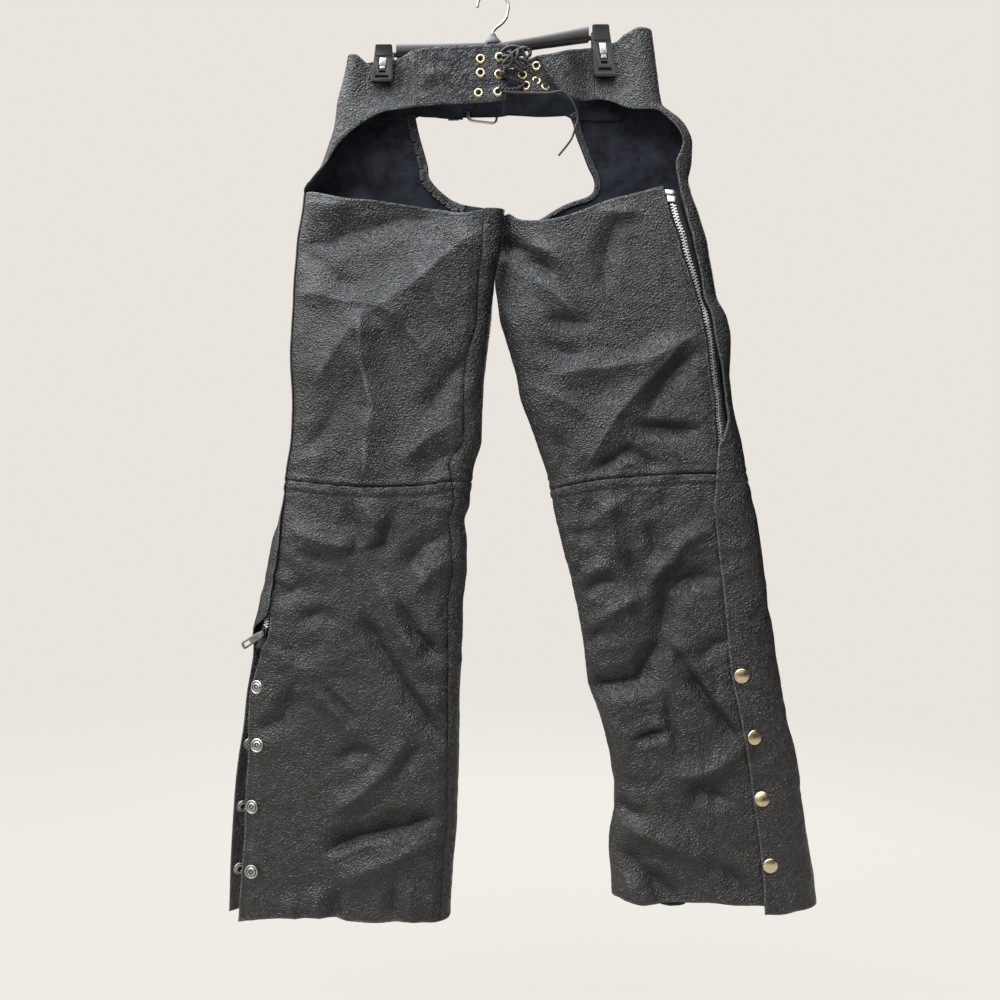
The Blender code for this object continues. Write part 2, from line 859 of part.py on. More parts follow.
def back_outline(leg, top, bottom):
    """A back panel between two edges that run from the inseam to the zip, given as x and z."""
    gap = SEAM_GAP / 2
    top, bottom = near_line(leg, top), near_line(leg, bottom)
    if top[0][0] > top[-1][0]:
        top = top[::-1]
    if bottom[0][0] > bottom[-1][0]:
        bottom = bottom[::-1]
    inner_top, inner_bottom = top[0][1], bottom[0][1]
    outer_top, outer_bottom = top[-1][1], bottom[-1][1]
    inner = edge_line(lambda z: inseam(leg, z) + gap, inner_top, inner_bottom)
    outer = edge_line(lambda z: zip_edge(leg, z), outer_top, outer_bottom)
    keep = lambda rows, start, end: [p for p in rows if start[0] + 5 < p[0] < end[0] - 5]
    top_middle = keep(top, inner[0], outer[0])
    bottom_middle = keep(bottom, inner[-1], outer[-1])
    return inner + bottom_middle + outer[::-1] + top_middle[::-1]


def wrapped_inseam(leg, z):
    """The inseam on the front panel's scale, which reaches it round the inner fold."""
    return inseam(leg, z) + 2 * half_length(leg, z)


def knee_line(leg, start, end):
    """Points at the grid's columns on the front's knee seam, between two corners."""
    return [(way, start[1]) for way in columns_at(leg, start[1]) if start[0] + 3 < way < end[0] - 3]


def front_thigh_outline(leg):
    gap = SEAM_GAP / 2
    knee = KNEE_FAR + gap
    free = edge_line(lambda z: flap_edge(leg, z), HIP_TOP, knee)
    sewn = edge_line(lambda z: wrapped_inseam(leg, z) - gap, leg["crotch"], knee)
    bottom = knee_line(leg, free[-1], sewn[-1])
    hip = near_line(leg, leg["hip_edge"])
    hip = hip[:-1] + spaced([hip[-1], free[0]], FOLD_STEP)[:-1]
    belt_near = near_line(leg, (leg["waist_near"][0], leg["hip_edge"][0]), FINE_EDGE_STEP)[1:-1]
    fold_top = (0.0, leg["waist_near"][-1][1] + 1)
    waist = near_line(leg, leg["waist_near"]) + [fold_top] + far_line(leg, leg["waist_far"])
    end_x = leg["waist_far"][-1][0]
    belt_side = far_line(leg, (leg["waist_far"][-1], (end_x, -140)), FINE_EDGE_STEP)[1:]
    seat = far_line(leg, ((end_x, -140),) + leg["seat_edge"][:1], FINE_EDGE_STEP)[1:]
    seat += far_line(leg, leg["seat_edge"], FINE_EDGE_STEP)[1:]
    fold = float(half_length(leg, leg["crotch"]))
    crotch = spaced([seat[-1], (fold, leg["crotch"] + 3), sewn[0]])[1:-1]
    inner = sewn[::-1] + crotch[::-1] + seat[::-1] + belt_side[::-1]
    return inner + waist[::-1] + belt_near + hip + free + bottom


def front_shin_outline(leg):
    gap = SEAM_GAP / 2
    knee = KNEE_FAR - gap
    hem = far_line(leg, leg["hem_far"])
    if hem[0][0] > hem[-1][0]:
        hem = hem[::-1]
    free = edge_line(lambda z: flap_edge(leg, z), knee, leg["hem_far_ends"][0])
    sewn = edge_line(lambda z: wrapped_inseam(leg, z) - gap, knee, leg["hem_far_ends"][1])
    hem = near_line(leg, leg["flap_hem"])[::-1] + hem if leg["flap_hem"] else hem
    middle = [p for p in hem if free[-1][0] + 6 < p[0] < sewn[-1][0] - 6]
    return free + middle + sewn[::-1] + knee_line(leg, free[0], sewn[0])[::-1]


def strip_outline(line, near, far):
    """A band along an open line, between two distances to its left."""
    points = np.array(line, float)
    ahead = np.gradient(points, axis=0)
    left = np.stack((-ahead[:, 1], ahead[:, 0]), axis=1)
    left /= np.linalg.norm(left, axis=1, keepdims=True)
    return [tuple(p) for p in points + left * near] + [tuple(p) for p in (points + left * far)[::-1]]


def add_leg(leg):
    name, grid = leg["name"], leg_grid(leg)
    back, front = leg_surface(leg), front_surface(leg)
    gap = SEAM_GAP / 2
    knee_above = [(x, z + gap) for x, z in leg["knee"]]
    knee_below = [(x, z - gap) for x, z in leg["knee"]]
    add_panel(f"{name}_back_thigh", "grain", back_outline(leg, leg["thigh_top"], knee_above), grid, back)
    add_panel(f"{name}_back_shin", "grain", back_outline(leg, knee_below, leg["hem"]), grid, back)
    add_panel(f"{name}_front_thigh", "grain", front_thigh_outline(leg), grid, front)
    add_panel(f"{name}_front_shin", "grain", front_shin_outline(leg), grid, front)


def add_seat_facing(leg):
    """The turned strip inside the seat opening's edge."""
    inner = LEATHER / 2 + 3 * LAY_GAP + FACING / 2
    base = front_surface(leg)
    line = spaced(leg["seat_edge"][:-1], FINE_EDGE_STEP)
    side = leg["facing_side"]
    strip = strip_outline(line, side * 1.5, side * (1.5 + FACING_WIDTH))
    outline = [(-float(near_around(leg, x, z)), z) for x, z in strip]
    place = lambda around, z, out: base(around, z, np.asarray(out) - inner)
    add_panel(f"{leg['name']}_seat_facing", "flesh", outline, [], place, FACING)


# ---------------------------------------------------------------- belts, strap and keeper


def closed_outline(points, most=EDGE_STEP):
    return spaced(list(points) + [points[0]], most)[:-1]


def strap_lift(x):
    """The strap rises over the buckle's left bar and lies down on the belts at both ends."""
    low = LEATHER + LAY_GAP + 0.3
    over = smooth_step(*STRAP_RISE["right"], x) * (1 - smooth_step(*STRAP_RISE["left"], x))
    return low + (STRAP_LIFT - low) * over


def strap_surface():
    base = belt_surface("far")
    return lambda x, z, out: base(x, z, np.asarray(out) + strap_lift(x))


def add_belts():
    near, far = belt_surface("near"), belt_surface("far")
    turned_grid = belt_grid(27, 122, TURNED_STEP)
    fine = FINE_EDGE_STEP
    left_front = closed_outline(LEFT_FRONT_BELT, fine)
    right_front = closed_outline(RIGHT_FRONT_BELT, fine)
    add_panel("left_back_belt", "grain", closed_outline(LEFT_BACK_BELT), belt_grid(-96, 18), near, margin=5)
    add_panel("right_back_belt", "grain", closed_outline(RIGHT_BACK_BELT, fine), turned_grid, near, margin=3)
    add_panel("left_front_belt", "grain", left_front, belt_grid(-150, -20), far, margin=5)
    add_panel("right_front_belt", "grain", right_front, belt_grid(12, 152), far, margin=5)
    add_panel("front_strap", "grain", closed_outline(STRAP, 10), [], strap_surface())
    add_keeper()


def add_prism(name, material, profile, stations, place):
    """A closed profile of (z, out) points swept over the stations, which are x positions."""
    work = bmesh.new()
    rings = []
    for x in stations:
        z, out = np.array(profile, float).T
        rings.append([work.verts.new(p) for p in place(np.full(len(z), float(x)), z, out)])
    for low, high in zip(rings[:-1], rings[1:]):
        for i in range(len(profile)):
            j = (i + 1) % len(profile)
            work.faces.new((low[i], low[j], high[j], high[i]))
    work.faces.new(rings[0][::-1])
    work.faces.new(rings[-1])
    return add_object(name, work, material, smooth=False)


def add_keeper():
    """A leather bridge over the strap, with a foot on the belt above and below it."""
    foot = LEATHER / 2 + LAY_GAP
    over = STRAP_LIFT + LEATHER / 2 + LAY_GAP + 0.3
    inner_top, inner_bottom, wall = -111.0, -137.0, 1.5
    profile = (
        (inner_top + wall, foot),
        (inner_top + wall, over + wall),
        (inner_bottom - wall, over + wall),
        (inner_bottom - wall, foot),
        (inner_bottom, foot),
        (inner_bottom, over),
        (inner_top, over),
        (inner_top, foot),
    )
    add_prism("strap_keeper", "grain", profile, (-55, -49, -43), belt_surface("far"))


# ---------------------------------------------------------------- hardware


def surface_frame(place, around, z, out):
    """The point and the outward, across and up directions of a surface, as vectors in millimetres."""
    point = Vector(place(around, z, out))
    across = Vector(place(around + 1, z, out)) - Vector(place(around - 1, z, out))
    normal = (Vector(place(around, z, out + 1)) - point).normalized()
    across.normalize()
    up = normal.cross(across)
    up = -up if up.z < 0 else up
    return point, normal, across, up


def add_turned(name, material, profile, point, normal, segments=16, hollow=False):
    """A profile of (radius, height) points turned round the normal at this point."""
    turn = normal.to_track_quat("Z", "Y").to_matrix()
    work = bmesh.new()
    rings = []
    for radius, height in profile:
        if radius == 0:
            rings.append([work.verts.new(point + normal * height)])
            continue
        angles = [2 * math.pi * i / segments for i in range(segments)]
        spots = [Vector((radius * math.cos(a), radius * math.sin(a), height)) for a in angles]
        rings.append([work.verts.new(point + turn @ spot) for spot in spots])
    pairs = list(zip(rings[:-1], rings[1:])) + ([(rings[-1], rings[0])] if hollow else [])
    for low, high in pairs:
        for i in range(segments):
            j = (i + 1) % segments
            corners = [low[i % len(low)], low[j % len(low)], high[j % len(high)], high[i % len(high)]]
            work.faces.new(list(dict.fromkeys(corners)))
    if not hollow:
        for ring in (rings[0], rings[-1]):
            if len(ring) > 1:
                work.faces.new(ring)
    return add_object(name, work, material)


EYELET_PROFILE = (
    (EYELET_INNER, 0.0),
    (EYELET_INNER, 0.7),
    (EYELET_INNER + 0.9, 1.2),
    (EYELET_OUTER - 0.7, 0.9),
    (EYELET_OUTER, 0.0),
)
CAP_PROFILE = (
    (CAP_RADIUS, 0.0),
    (CAP_RADIUS, 0.7),
    (CAP_RADIUS * 0.8, 2.0),
    (CAP_RADIUS * 0.4, 2.7),
    (0.0, 2.9),
)
STUD_PROFILE = (
    (STUD_RADIUS, 0.0),
    (STUD_RADIUS, 0.9),
    (5.4, 1.0),
    (3.4, 1.2),
    (3.1, 3.6),
    (1.6, 4.2),
    (0.0, 4.2),
)
SOCKET_PROFILE = ((3.0, 0.0), (3.0, 1.4), (4.2, 1.9), (SOCKET_RADIUS - 0.8, 1.6), (SOCKET_RADIUS, 0.0))


def add_eyelets():
    place = belt_surface("near")
    for side, spots in (("left", LEFT_EYELETS), ("right", RIGHT_EYELETS)):
        for number, (x, z) in enumerate(spots, 1):
            point, normal, _, _ = surface_frame(place, x, z, LEATHER / 2 + EYELET_LIFT[side])
            add_turned(f"{side}_eyelet_{number}", "brass", EYELET_PROFILE, point, normal, 14, hollow=True)


def add_snaps():
    left, right = LEGS
    outside = LEATHER / 2 + LAY_GAP + 0.4
    for number, (x, z) in enumerate(RIGHT_CAPS, 1):
        around = float(near_around(right, x, z))
        point, normal, _, _ = surface_frame(front_surface(right), around, z, outside)
        add_turned(f"right_snap_cap_{number}", "brass", CAP_PROFILE, point, normal)
    for number, (x, z) in enumerate(LEFT_STUDS, 1):
        around = float(near_around(left, x, z))
        point, normal, _, _ = surface_frame(leg_surface(left), around, z, outside)
        add_turned(f"left_snap_stud_{number}", "steel", STUD_PROFILE, point, normal)
    for number, z in enumerate(LEFT_SOCKET_HEIGHTS, 1):
        place = front_surface(left)
        point, normal, _, _ = surface_frame(place, LEFT_SOCKET_IN, z, -outside - 0.3)
        add_turned(f"left_snap_socket_{number}", "steel", SOCKET_PROFILE, point, -normal, hollow=True)
        point, normal, _, _ = surface_frame(place, LEFT_SOCKET_IN, z, outside)
        add_turned(f"left_snap_cap_{number}", "brass", CAP_PROFILE, point, normal)


def chain_line(leg, z):
    return zip_edge(leg, z) + CHAIN_FROM_EDGE


def band_outline(middle, half, top, bottom):
    heights = [top] + steps_between(top, bottom, EDGE_STEP) + [bottom]
    left = [(float(middle(z)) - half, z) for z in heights]
    right = [(float(middle(z)) + half, z) for z in heights]
    return left + right[::-1]


def add_zip(leg):
    name, base = leg["name"], leg_surface(leg)
    middle = lambda z: chain_line(leg, z)
    end = ZIP_END[name]
    under_head = ZIP_TOP - CHAIN_HEAD_HEIGHT
    tape = band_outline(middle, TAPE_WIDTH / 2, ZIP_TOP, end - TAPE_TAIL)
    chain = band_outline(middle, CHAIN_WIDTH / 2, under_head, end)
    head = CHAIN_WIDTH / 2 + CHAIN_HEAD_OVERHANG
    top = float(middle(ZIP_TOP))
    left_head = [(top - head, ZIP_TOP), (top - head, under_head)]
    right_head = [(top + head, under_head), (top + head, ZIP_TOP)]
    chain = left_head + chain + right_head
    lay_tape = lambda around, z, out: base(around, z, np.asarray(out) - TAPE_DEPTH)
    lay_chain = lambda around, z, out: base(around, z, np.asarray(out) - CHAIN_DEPTH)
    add_panel(f"{name}_zip_tape", "tape", tape, [], lay_tape, TAPE_THICKNESS)
    add_panel(f"{name}_zip_chain", "steel", chain, [], lay_chain, CHAIN_THICKNESS)


def add_block(name, material, origin, axes, low, high):
    """A box between two corners given along three axes."""
    work = bmesh.new()
    bmesh.ops.create_cube(work, size=1.0)
    for vert in work.verts:
        spot = [low[i] + (vert.co[i] + 0.5) * (high[i] - low[i]) for i in range(3)]
        vert.co = origin + sum((axis * value for axis, value in zip(axes, spot)), Vector())
    return add_object(name, work, material, smooth=False)


def add_right_slider():
    """It lies under the flap with its pull tab flat below it."""
    leg = LEGS[1]
    z = ZIP_END["right"] - SLIDER_BELOW
    base = leg_surface(leg)
    point, normal, across, up = surface_frame(base, float(chain_line(leg, z)), z, 0.0)
    half, long, low = SLIDER["half_width"], SLIDER["half_length"], SLIDER["low"]
    axes = (across, up, normal)
    corner = (half, long, SLIDER["covered_top"])
    add_block("right_zip_slider", "steel", point, axes, (-half, -long, low), corner)


def add_left_slider():
    """The slider at the open end of the zip, and the pull tab that turns on it."""
    leg = LEGS[0]
    z = ZIP_END["left"] - SLIDER_BELOW
    base = leg_surface(leg)
    point, normal, across, up = surface_frame(base, float(chain_line(leg, z)), z, 0.0)
    half, long, low = SLIDER["half_width"], SLIDER["half_length"], SLIDER["low"]
    axes = (across, up, normal)
    add_block("left_zip_slider", "steel", point, axes, (-half, -long, low), (half, long, SLIDER["top"]))
    outward = across if across.x < 0 else -across
    lean, swing = math.radians(PULL_LEAN), math.radians(PULL_SWING)
    in_plane = outward * math.sin(lean) - up * math.cos(lean)
    direction = (in_plane * math.cos(swing) + normal * math.sin(swing)).normalized()
    axis = direction.cross(normal).normalized()
    face = axis.cross(direction)
    pivot = point + normal * (SLIDER["top"] + LAY_GAP + PULL_THICKNESS)
    pull = add_slotted_plate("left_zip_pull", (axis, direction, face))
    pull.location = pivot * MM


def add_slotted_plate(name, axes):
    """A thin plate with a rectangular window near its free end; its origin is on the hinge."""
    half, thick = PULL_WIDTH / 2, PULL_THICKNESS / 2
    window = (half - 2.4, PULL_LENGTH - 10.0, PULL_LENGTH - 3.0)
    outline = ((-half, -1.0), (half, -1.0), (half, PULL_LENGTH), (-half, PULL_LENGTH))
    hole = ((-window[0], window[1]), (window[0], window[1]), (window[0], window[2]), (-window[0], window[2]))
    work = bmesh.new()
    rings = {}
    for level in (-thick, thick):
        for label, corners in (("outline", outline), ("hole", hole)):
            spots = [axes[0] * a + axes[1] * b + axes[2] * level for a, b in corners]
            rings[(label, level)] = [work.verts.new(spot) for spot in spots]
    for k in range(4):
        m = (k + 1) % 4
        for level in (-thick, thick):
            outer, inner = rings[("outline", level)], rings[("hole", level)]
            work.faces.new((outer[k], outer[m], inner[m], inner[k]))
        for label in ("outline", "hole"):
            low, high = rings[(label, -thick)], rings[(label, thick)]
            work.faces.new((low[k], low[m], high[m], high[k]))
    return add_object(name, work, "steel", smooth=False)


def cut_with(item, other, operation):
    """Applies a Boolean to the object and removes the other one."""
    modifier = item.modifiers.new("shape", "BOOLEAN")
    modifier.operation = operation
    modifier.object = other
    bpy.context.view_layer.update()
    evaluated = item.evaluated_get(bpy.context.evaluated_depsgraph_get())
    mesh = bpy.data.meshes.new_from_object(evaluated)
    item.modifiers.clear()
    item.data = mesh
    bpy.data.objects.remove(other, do_unlink=True)


def smooth_route(points, step):
    """Points at even steps on a smooth curve through the route's own points."""
    points = [Vector(p) for p in points]
    ends = [points[0] * 2 - points[1]] + points + [points[-1] * 2 - points[-2]]
    fine = []
    for before, start, end, after in zip(ends[:-3], ends[1:-2], ends[2:-1], ends[3:]):
        for i in range(16):
            t = i / 16
            fine.append(
                0.5
                * (
                    2 * start
                    + (end - before) * t
                    + (2 * before - 5 * start + 4 * end - after) * t * t
                    + (3 * start - before - 3 * end + after) * t**3
                )
            )
    fine.append(points[-1])
    lengths = np.cumsum([0.0] + [(b - a).length for a, b in zip(fine[:-1], fine[1:])])
    count = max(int(lengths[-1] / step), 2)
    at = np.linspace(0, lengths[-1], count + 1)
    table = np.array([tuple(p) for p in fine])
    return [tuple(np.interp(d, lengths, table[:, i]) for i in range(3)) for d in at]


def add_wire(name, material, route, radius, step, resolution=2):
    """A round wire or cord along the route, with filled ends."""
    curve = bpy.data.curves.new(name, "CURVE")
    curve.dimensions = "3D"
    curve.bevel_depth = radius * MM
    curve.bevel_resolution = resolution
    curve.use_fill_caps = True
    points = smooth_route(route, step)
    spline = curve.splines.new("POLY")
    spline.points.add(len(points) - 1)
    for spot, point in zip(spline.points, points):
        spot.co = (point[0] * MM, point[1] * MM, point[2] * MM, 1.0)
    item = bpy.data.objects.new(name, curve)
    bpy.context.scene.collection.objects.link(item)
    curve.materials.append(materials[material])
    return item


LACE_CROSSING = (
    (6, -18.2, -84),
    (20, -19, -88),
    (36, -20.5, -97),
    (30, -21, -103),
    (16, -19.5, -104),
    (7, -18.4, -106),
    (16, -19, -110),
    (36, -19.5, -118),
    (30, -19.5, -124),
    (18, -19, -125),
    (7, -18.2, -123),
)
LACE_BOW = (
    (12, -23, -86),
    (22, -24.5, -82),
    (36, -24.5, -79),
    (44, -24, -84),
    (38, -25, -92),
    (24, -25.5, -97),
    (14, -24.5, -102),
    (13, -24, -110),
)
LACE_END = (
    (12, -22, -129),
    (27, -22.4, -130.5),
    (45, -22.4, -131),
    (66, -22.2, -131),
    (82, -22, -129),
    (93, -21, -140),
    (100, -18, -156),
    (97, -17, -170),
    (92, -15, -183),
    (78, -12, -200),
)


def add_lace():
    step = LACE_RADIUS * 5
    add_wire("lace_crossing", "tape", LACE_CROSSING, LACE_RADIUS, step)
    add_wire("lace_bow", "tape", LACE_BOW, LACE_RADIUS, step)
    add_wire("lace_end", "tape", LACE_END, LACE_RADIUS, step)


def add_buckle():
    """A nickel frame round the strap, its left bar under the strap and its right bar over it, and a prong."""
    base = belt_surface("far")
    wire = BUCKLE["wire"]
    middle_z = (BUCKLE["top"] + BUCKLE["bottom"]) / 2
    corners = []
    radius = 6.0
    for corner_x, corner_z, first in (
        (BUCKLE["right"] - radius, BUCKLE["top"] - radius, 0),
        (BUCKLE["left"] + radius, BUCKLE["top"] - radius, 90),
        (BUCKLE["left"] + radius, BUCKLE["bottom"] + radius, 180),
        (BUCKLE["right"] - radius, BUCKLE["bottom"] + radius, 270),
    ):
        for turn in (0, 30, 60, 90):
            angle = math.radians(first + turn)
            corners.append((corner_x + radius * math.cos(angle), corner_z + radius * math.sin(angle)))
    low = LEATHER / 2 + LAY_GAP + wire + 0.1
    high = STRAP_LIFT + LEATHER / 2 + LAY_GAP + wire + 0.3
    span = BUCKLE["right"] - BUCKLE["left"] - 8
    ring = []
    for x, z in corners:
        share = min(max((x - BUCKLE["left"] - 4) / span, 0), 1)
        ring.append(Vector(base(x, z, low + (high - low) * share)))
    work = bmesh.new()
    sides = 8
    sections = []
    centre = sum(ring, Vector()) / len(ring)
    plane = (ring[0] - centre).cross(ring[4] - centre).normalized()
    for i, point in enumerate(ring):
        ahead = (ring[(i + 1) % len(ring)] - ring[i - 1]).normalized()
        side = ahead.cross(plane).normalized()
        lift = side.cross(ahead)
        turns = [2 * math.pi * k / sides for k in range(sides)]
        spots = [point + (side * math.cos(a) + lift * math.sin(a)) * wire for a in turns]
        sections.append([work.verts.new(spot) for spot in spots])
    for start, end in zip(sections, sections[1:] + sections[:1]):
        for k in range(sides):
            m = (k + 1) % sides
            work.faces.new((start[k], start[m], end[m], end[k]))
    frame = add_object("buckle", work, "steel")
    tip = Vector(base(BUCKLE["right"] - 1.5, middle_z, high + wire * 0.4))
    over = Vector(base(BUCKLE["left"] + 7, middle_z, STRAP_LIFT + LEATHER / 2 + 1.6))
    prong = bmesh.new()
    stations = [over, (over + tip) / 2, tip]
    rings = []
    for i, point in enumerate(stations):
        ahead = (stations[min(i + 1, 2)] - stations[max(i - 1, 0)]).normalized()
        side = Vector((0, 0, 1))
        lift = side.cross(ahead).normalized()
        spots = [side * a + lift * b for a, b in ((1.3, 1.0), (-1.3, 1.0), (-1.3, -1.0), (1.3, -1.0))]
        rings.append([prong.verts.new(point + spot) for spot in spots])
    for start, end in zip(rings[:-1], rings[1:]):
        for k in range(4):
            m = (k + 1) % 4
            prong.faces.new((start[k], start[m], end[m], end[k]))
    prong.faces.new(rings[0][::-1])
    prong.faces.new(rings[-1])
    tongue = add_object("buckle_prong", prong, "steel")
    cut_with(frame, tongue, "UNION")


def add_hardware():
    add_eyelets()
    add_snaps()
    for leg in LEGS:
        add_zip(leg)
    add_right_slider()
    add_left_slider()
    add_buckle()
    add_lace()


# ---------------------------------------------------------------- hanger

BAR_COLUMNS = ("x", "middle", "half_height", "half_depth")
BAR = (
    (-118.8, -74, 3.0, 2.6),
    (-116.2, -74, 3.0, 2.6),
    (-116.0, -70, 8.0, 4.8),
    (-60.0, -69, 7.5, 5.2),
    (-12.0, -67, 6.5, 5.6),
    (0.0, -65, 8.0, 6.2),
    (12.0, -66.5, 6.5, 5.6),
    (60.0, -59, 7.5, 5.2),
    (114.8, -50, 9.5, 4.8),
    (115.0, -54, 3.0, 2.6),
    (118.0, -54, 3.0, 2.6),
)
COLLAR = ((11.0, -62.0), (10.0, -58.0), (5.0, -53.0), (3.2, -49.5))
CLIP_PROFILE = (
    (-4.2, 0.0),
    (-8.9, 0.0),
    (-9.6, 0.12),
    (-8.8, 0.62),
    (-11.6, 0.97),
    (-9.0, 1.0),
    (-5.6, 0.88),
    (5.6, 0.88),
    (9.0, 1.0),
    (11.6, 0.97),
    (8.8, 0.62),
    (9.6, 0.12),
    (8.9, 0.0),
    (4.2, 0.0),
    (5.0, 0.76),
    (-5.0, 0.76),
)
SPRING_SPAN = (0.34, 0.60)
SPRING_WIDTH = 8.5
SPRING_THICKNESS = 1.0
CLIP_HALF_BOTTOM = 13.6
CLIP_HALF_TOP = 9.8


def add_hook():
    centre_z = -HOOK_RADIUS
    bend = HOOK_RADIUS + WIRE_RADIUS
    route = [(0, 0, COLLAR[-1][1] + 2 * LAY_GAP), (0.2, 0, -46.5), (4, 0, -42), (11, 0, -36.5), (16, 0, -30)]
    for degrees in range(-20, 200, 20):
        angle = math.radians(degrees)
        route.append((bend * math.cos(angle), 0, centre_z + bend * math.sin(angle)))
    add_wire("hanger_hook", "steel", route, WIRE_RADIUS, 4.5, resolution=2)


def add_bar():
    work = bmesh.new()
    rings = []
    sides = 12
    for row in BAR:
        section = dict(zip(BAR_COLUMNS, row))
        ring = []
        for k in range(sides):
            angle = 2 * math.pi * (k + 0.5) / sides
            y = section["half_depth"] * math.copysign(abs(math.cos(angle)) ** 0.7, math.cos(angle))
            z = section["half_height"] * math.copysign(abs(math.sin(angle)) ** 0.7, math.sin(angle))
            ring.append(work.verts.new((section["x"], y, section["middle"] + z)))
        rings.append(ring)
    for low, high in zip(rings[:-1], rings[1:]):
        for k in range(sides):
            m = (k + 1) % sides
            work.faces.new((low[k], low[m], high[m], high[k]))
    work.faces.new(rings[0][::-1])
    work.faces.new(rings[-1])
    bar = add_object("hanger_bar", work, "plastic")
    base = COLLAR[0][1]
    profile = [(radius, z - base) for radius, z in COLLAR]
    squash = add_turned("hanger_collar", "plastic", profile, Vector(), Vector((0, 0, 1)), segments=12)
    for vert in squash.data.vertices:
        vert.co.y *= 0.5
        vert.co.z += base * MM
    cut_with(bar, squash, "UNION")


def add_clip(side):
    clip = CLIPS[side]
    height = clip["top"] - clip["bottom"]
    lean = math.tan(math.radians(clip["lean"]))
    work = bmesh.new()
    faces = []
    for sign in (-1, 1):
        ring = []
        for y, share in CLIP_PROFILE:
            half = CLIP_HALF_BOTTOM + (CLIP_HALF_TOP - CLIP_HALF_BOTTOM) * share
            z = clip["bottom"] + share * height
            x = clip["x"] + sign * half - (share - 0.5) * height * lean
            ring.append(work.verts.new((x, y, z)))
        faces.append(ring)
    count = len(CLIP_PROFILE)
    for k in range(count):
        m = (k + 1) % count
        work.faces.new((faces[0][k], faces[0][m], faces[1][m], faces[1][k]))
    work.faces.new(faces[0][::-1])
    work.faces.new(faces[1])
    add_object(f"{side}_clip", work, "plastic", smooth=False)
    add_clip_spring(side, height, lean)


def add_clip_spring(side, height, lean):
    """A flat steel spring on the middle of the clip's near side."""
    clip = CLIPS[side]
    low, high = SPRING_SPAN
    work = bmesh.new()
    bmesh.ops.create_cube(work, size=1.0)
    for vert in work.verts:
        share = low + (vert.co.z + 0.5) * (high - low)
        face = np.interp(share, (0.12, 0.62, 0.97), (9.6, 8.8, 11.6))
        x = clip["x"] + vert.co.x * SPRING_WIDTH - (share - 0.5) * height * lean
        y = -face - LAY_GAP - SPRING_THICKNESS * (0.5 + vert.co.y)
        vert.co = (x, y, clip["bottom"] + share * height)
    add_object(f"{side}_clip_spring", work, "steel", smooth=False)


def add_hanger():
    add_hook()
    add_bar()
    for side in CLIPS:
        add_clip(side)


def main():
    clear_scene()
    materials.update({name: make_material(name) for name in FINISHES})
    for leg in LEGS:
        add_leg(leg)
        add_seat_facing(leg)
    add_belts()
    add_hardware()
    add_hanger()


materials = {}
LEGS = (
    {
        "name": "left",
        "sign": -1,
        "tube": LEFT_TUBE,
        "inseam": LEFT_INSEAM,
        "zip_edge": LEFT_ZIP_EDGE,
        "flap_edge": LEFT_FLAP_EDGE,
        "lift_end": (-785, -762),
        "set_back": -10.0,
        "opens": (-762, -800),
        "lift_reach": 45,
        "thigh_top": LEFT_THIGH_TOP,
        "knee": LEFT_KNEE,
        "hem": LEFT_HEM,
        "hem_far": LEFT_HEM_FAR,
        "flap_hem": (),
        "hem_far_ends": (-1106, -1105),
        "hip_edge": LEFT_HIP_EDGE,
        "seat_edge": LEFT_SEAT_EDGE,
        "waist_near": LEFT_WAIST_NEAR,
        "waist_far": LEFT_WAIST_FAR,
        "crotch": -267,
        "hip_rows": (-200, -229, -236, -243),
        "facing_side": -1,
    },
    {
        "name": "right",
        "sign": 1,
        "tube": RIGHT_TUBE,
        "inseam": RIGHT_INSEAM,
        "zip_edge_x": RIGHT_ZIP_EDGE_X,
        "flap_edge_x": RIGHT_FLAP_EDGE_X,
        "lift_end": (-1300, -1250),
        "set_back": 10.0,
        "opens": (-1300, -1400),
        "lift_reach": 12,
        "thigh_top": RIGHT_THIGH_TOP,
        "knee": RIGHT_KNEE,
        "hem": RIGHT_HEM,
        "hem_far": RIGHT_HEM_FAR,
        "flap_hem": RIGHT_FLAP_HEM,
        "hem_far_ends": (-1092, -1086),
        "hip_edge": RIGHT_HIP_EDGE,
        "seat_edge": RIGHT_SEAT_EDGE,
        "waist_near": RIGHT_WAIST_NEAR,
        "waist_far": RIGHT_WAIST_FAR,
        "crotch": -266,
        "hip_rows": (-135, -142, -156, -164, -172),
        "facing_side": 1,
    },
)
main()
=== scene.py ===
import json
import math

import bmesh
import bpy
import numpy as np
from mathutils import Matrix, Vector, kdtree


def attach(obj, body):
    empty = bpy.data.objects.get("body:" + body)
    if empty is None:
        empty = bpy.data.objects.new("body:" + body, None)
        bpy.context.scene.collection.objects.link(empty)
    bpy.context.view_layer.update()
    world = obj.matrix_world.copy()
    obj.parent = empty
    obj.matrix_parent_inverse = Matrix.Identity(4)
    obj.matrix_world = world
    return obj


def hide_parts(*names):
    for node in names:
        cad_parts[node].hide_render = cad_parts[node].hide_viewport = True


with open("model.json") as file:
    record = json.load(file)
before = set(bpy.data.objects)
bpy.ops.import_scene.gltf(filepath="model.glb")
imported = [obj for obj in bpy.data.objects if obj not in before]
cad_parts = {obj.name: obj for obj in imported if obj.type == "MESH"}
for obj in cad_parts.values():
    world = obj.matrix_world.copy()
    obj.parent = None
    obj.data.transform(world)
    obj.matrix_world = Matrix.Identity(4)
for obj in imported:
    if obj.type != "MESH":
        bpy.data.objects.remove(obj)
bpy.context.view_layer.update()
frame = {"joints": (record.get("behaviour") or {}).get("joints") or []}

mm = 0.001
hide = 1.6  # thickness of the leather, in millimetres as every length below
holeReach = 2.3  # a punched hole takes the faces this near to its middle

# camera, level with the middle of the chaps and a metre behind them
view = {"place": (0.0084, -1.0, -0.6084), "lens": 30.0, "sensor": 36.0}


def addObject(name, data):
    item = bpy.data.objects.new(name, data)
    bpy.context.scene.collection.objects.link(item)
    return item


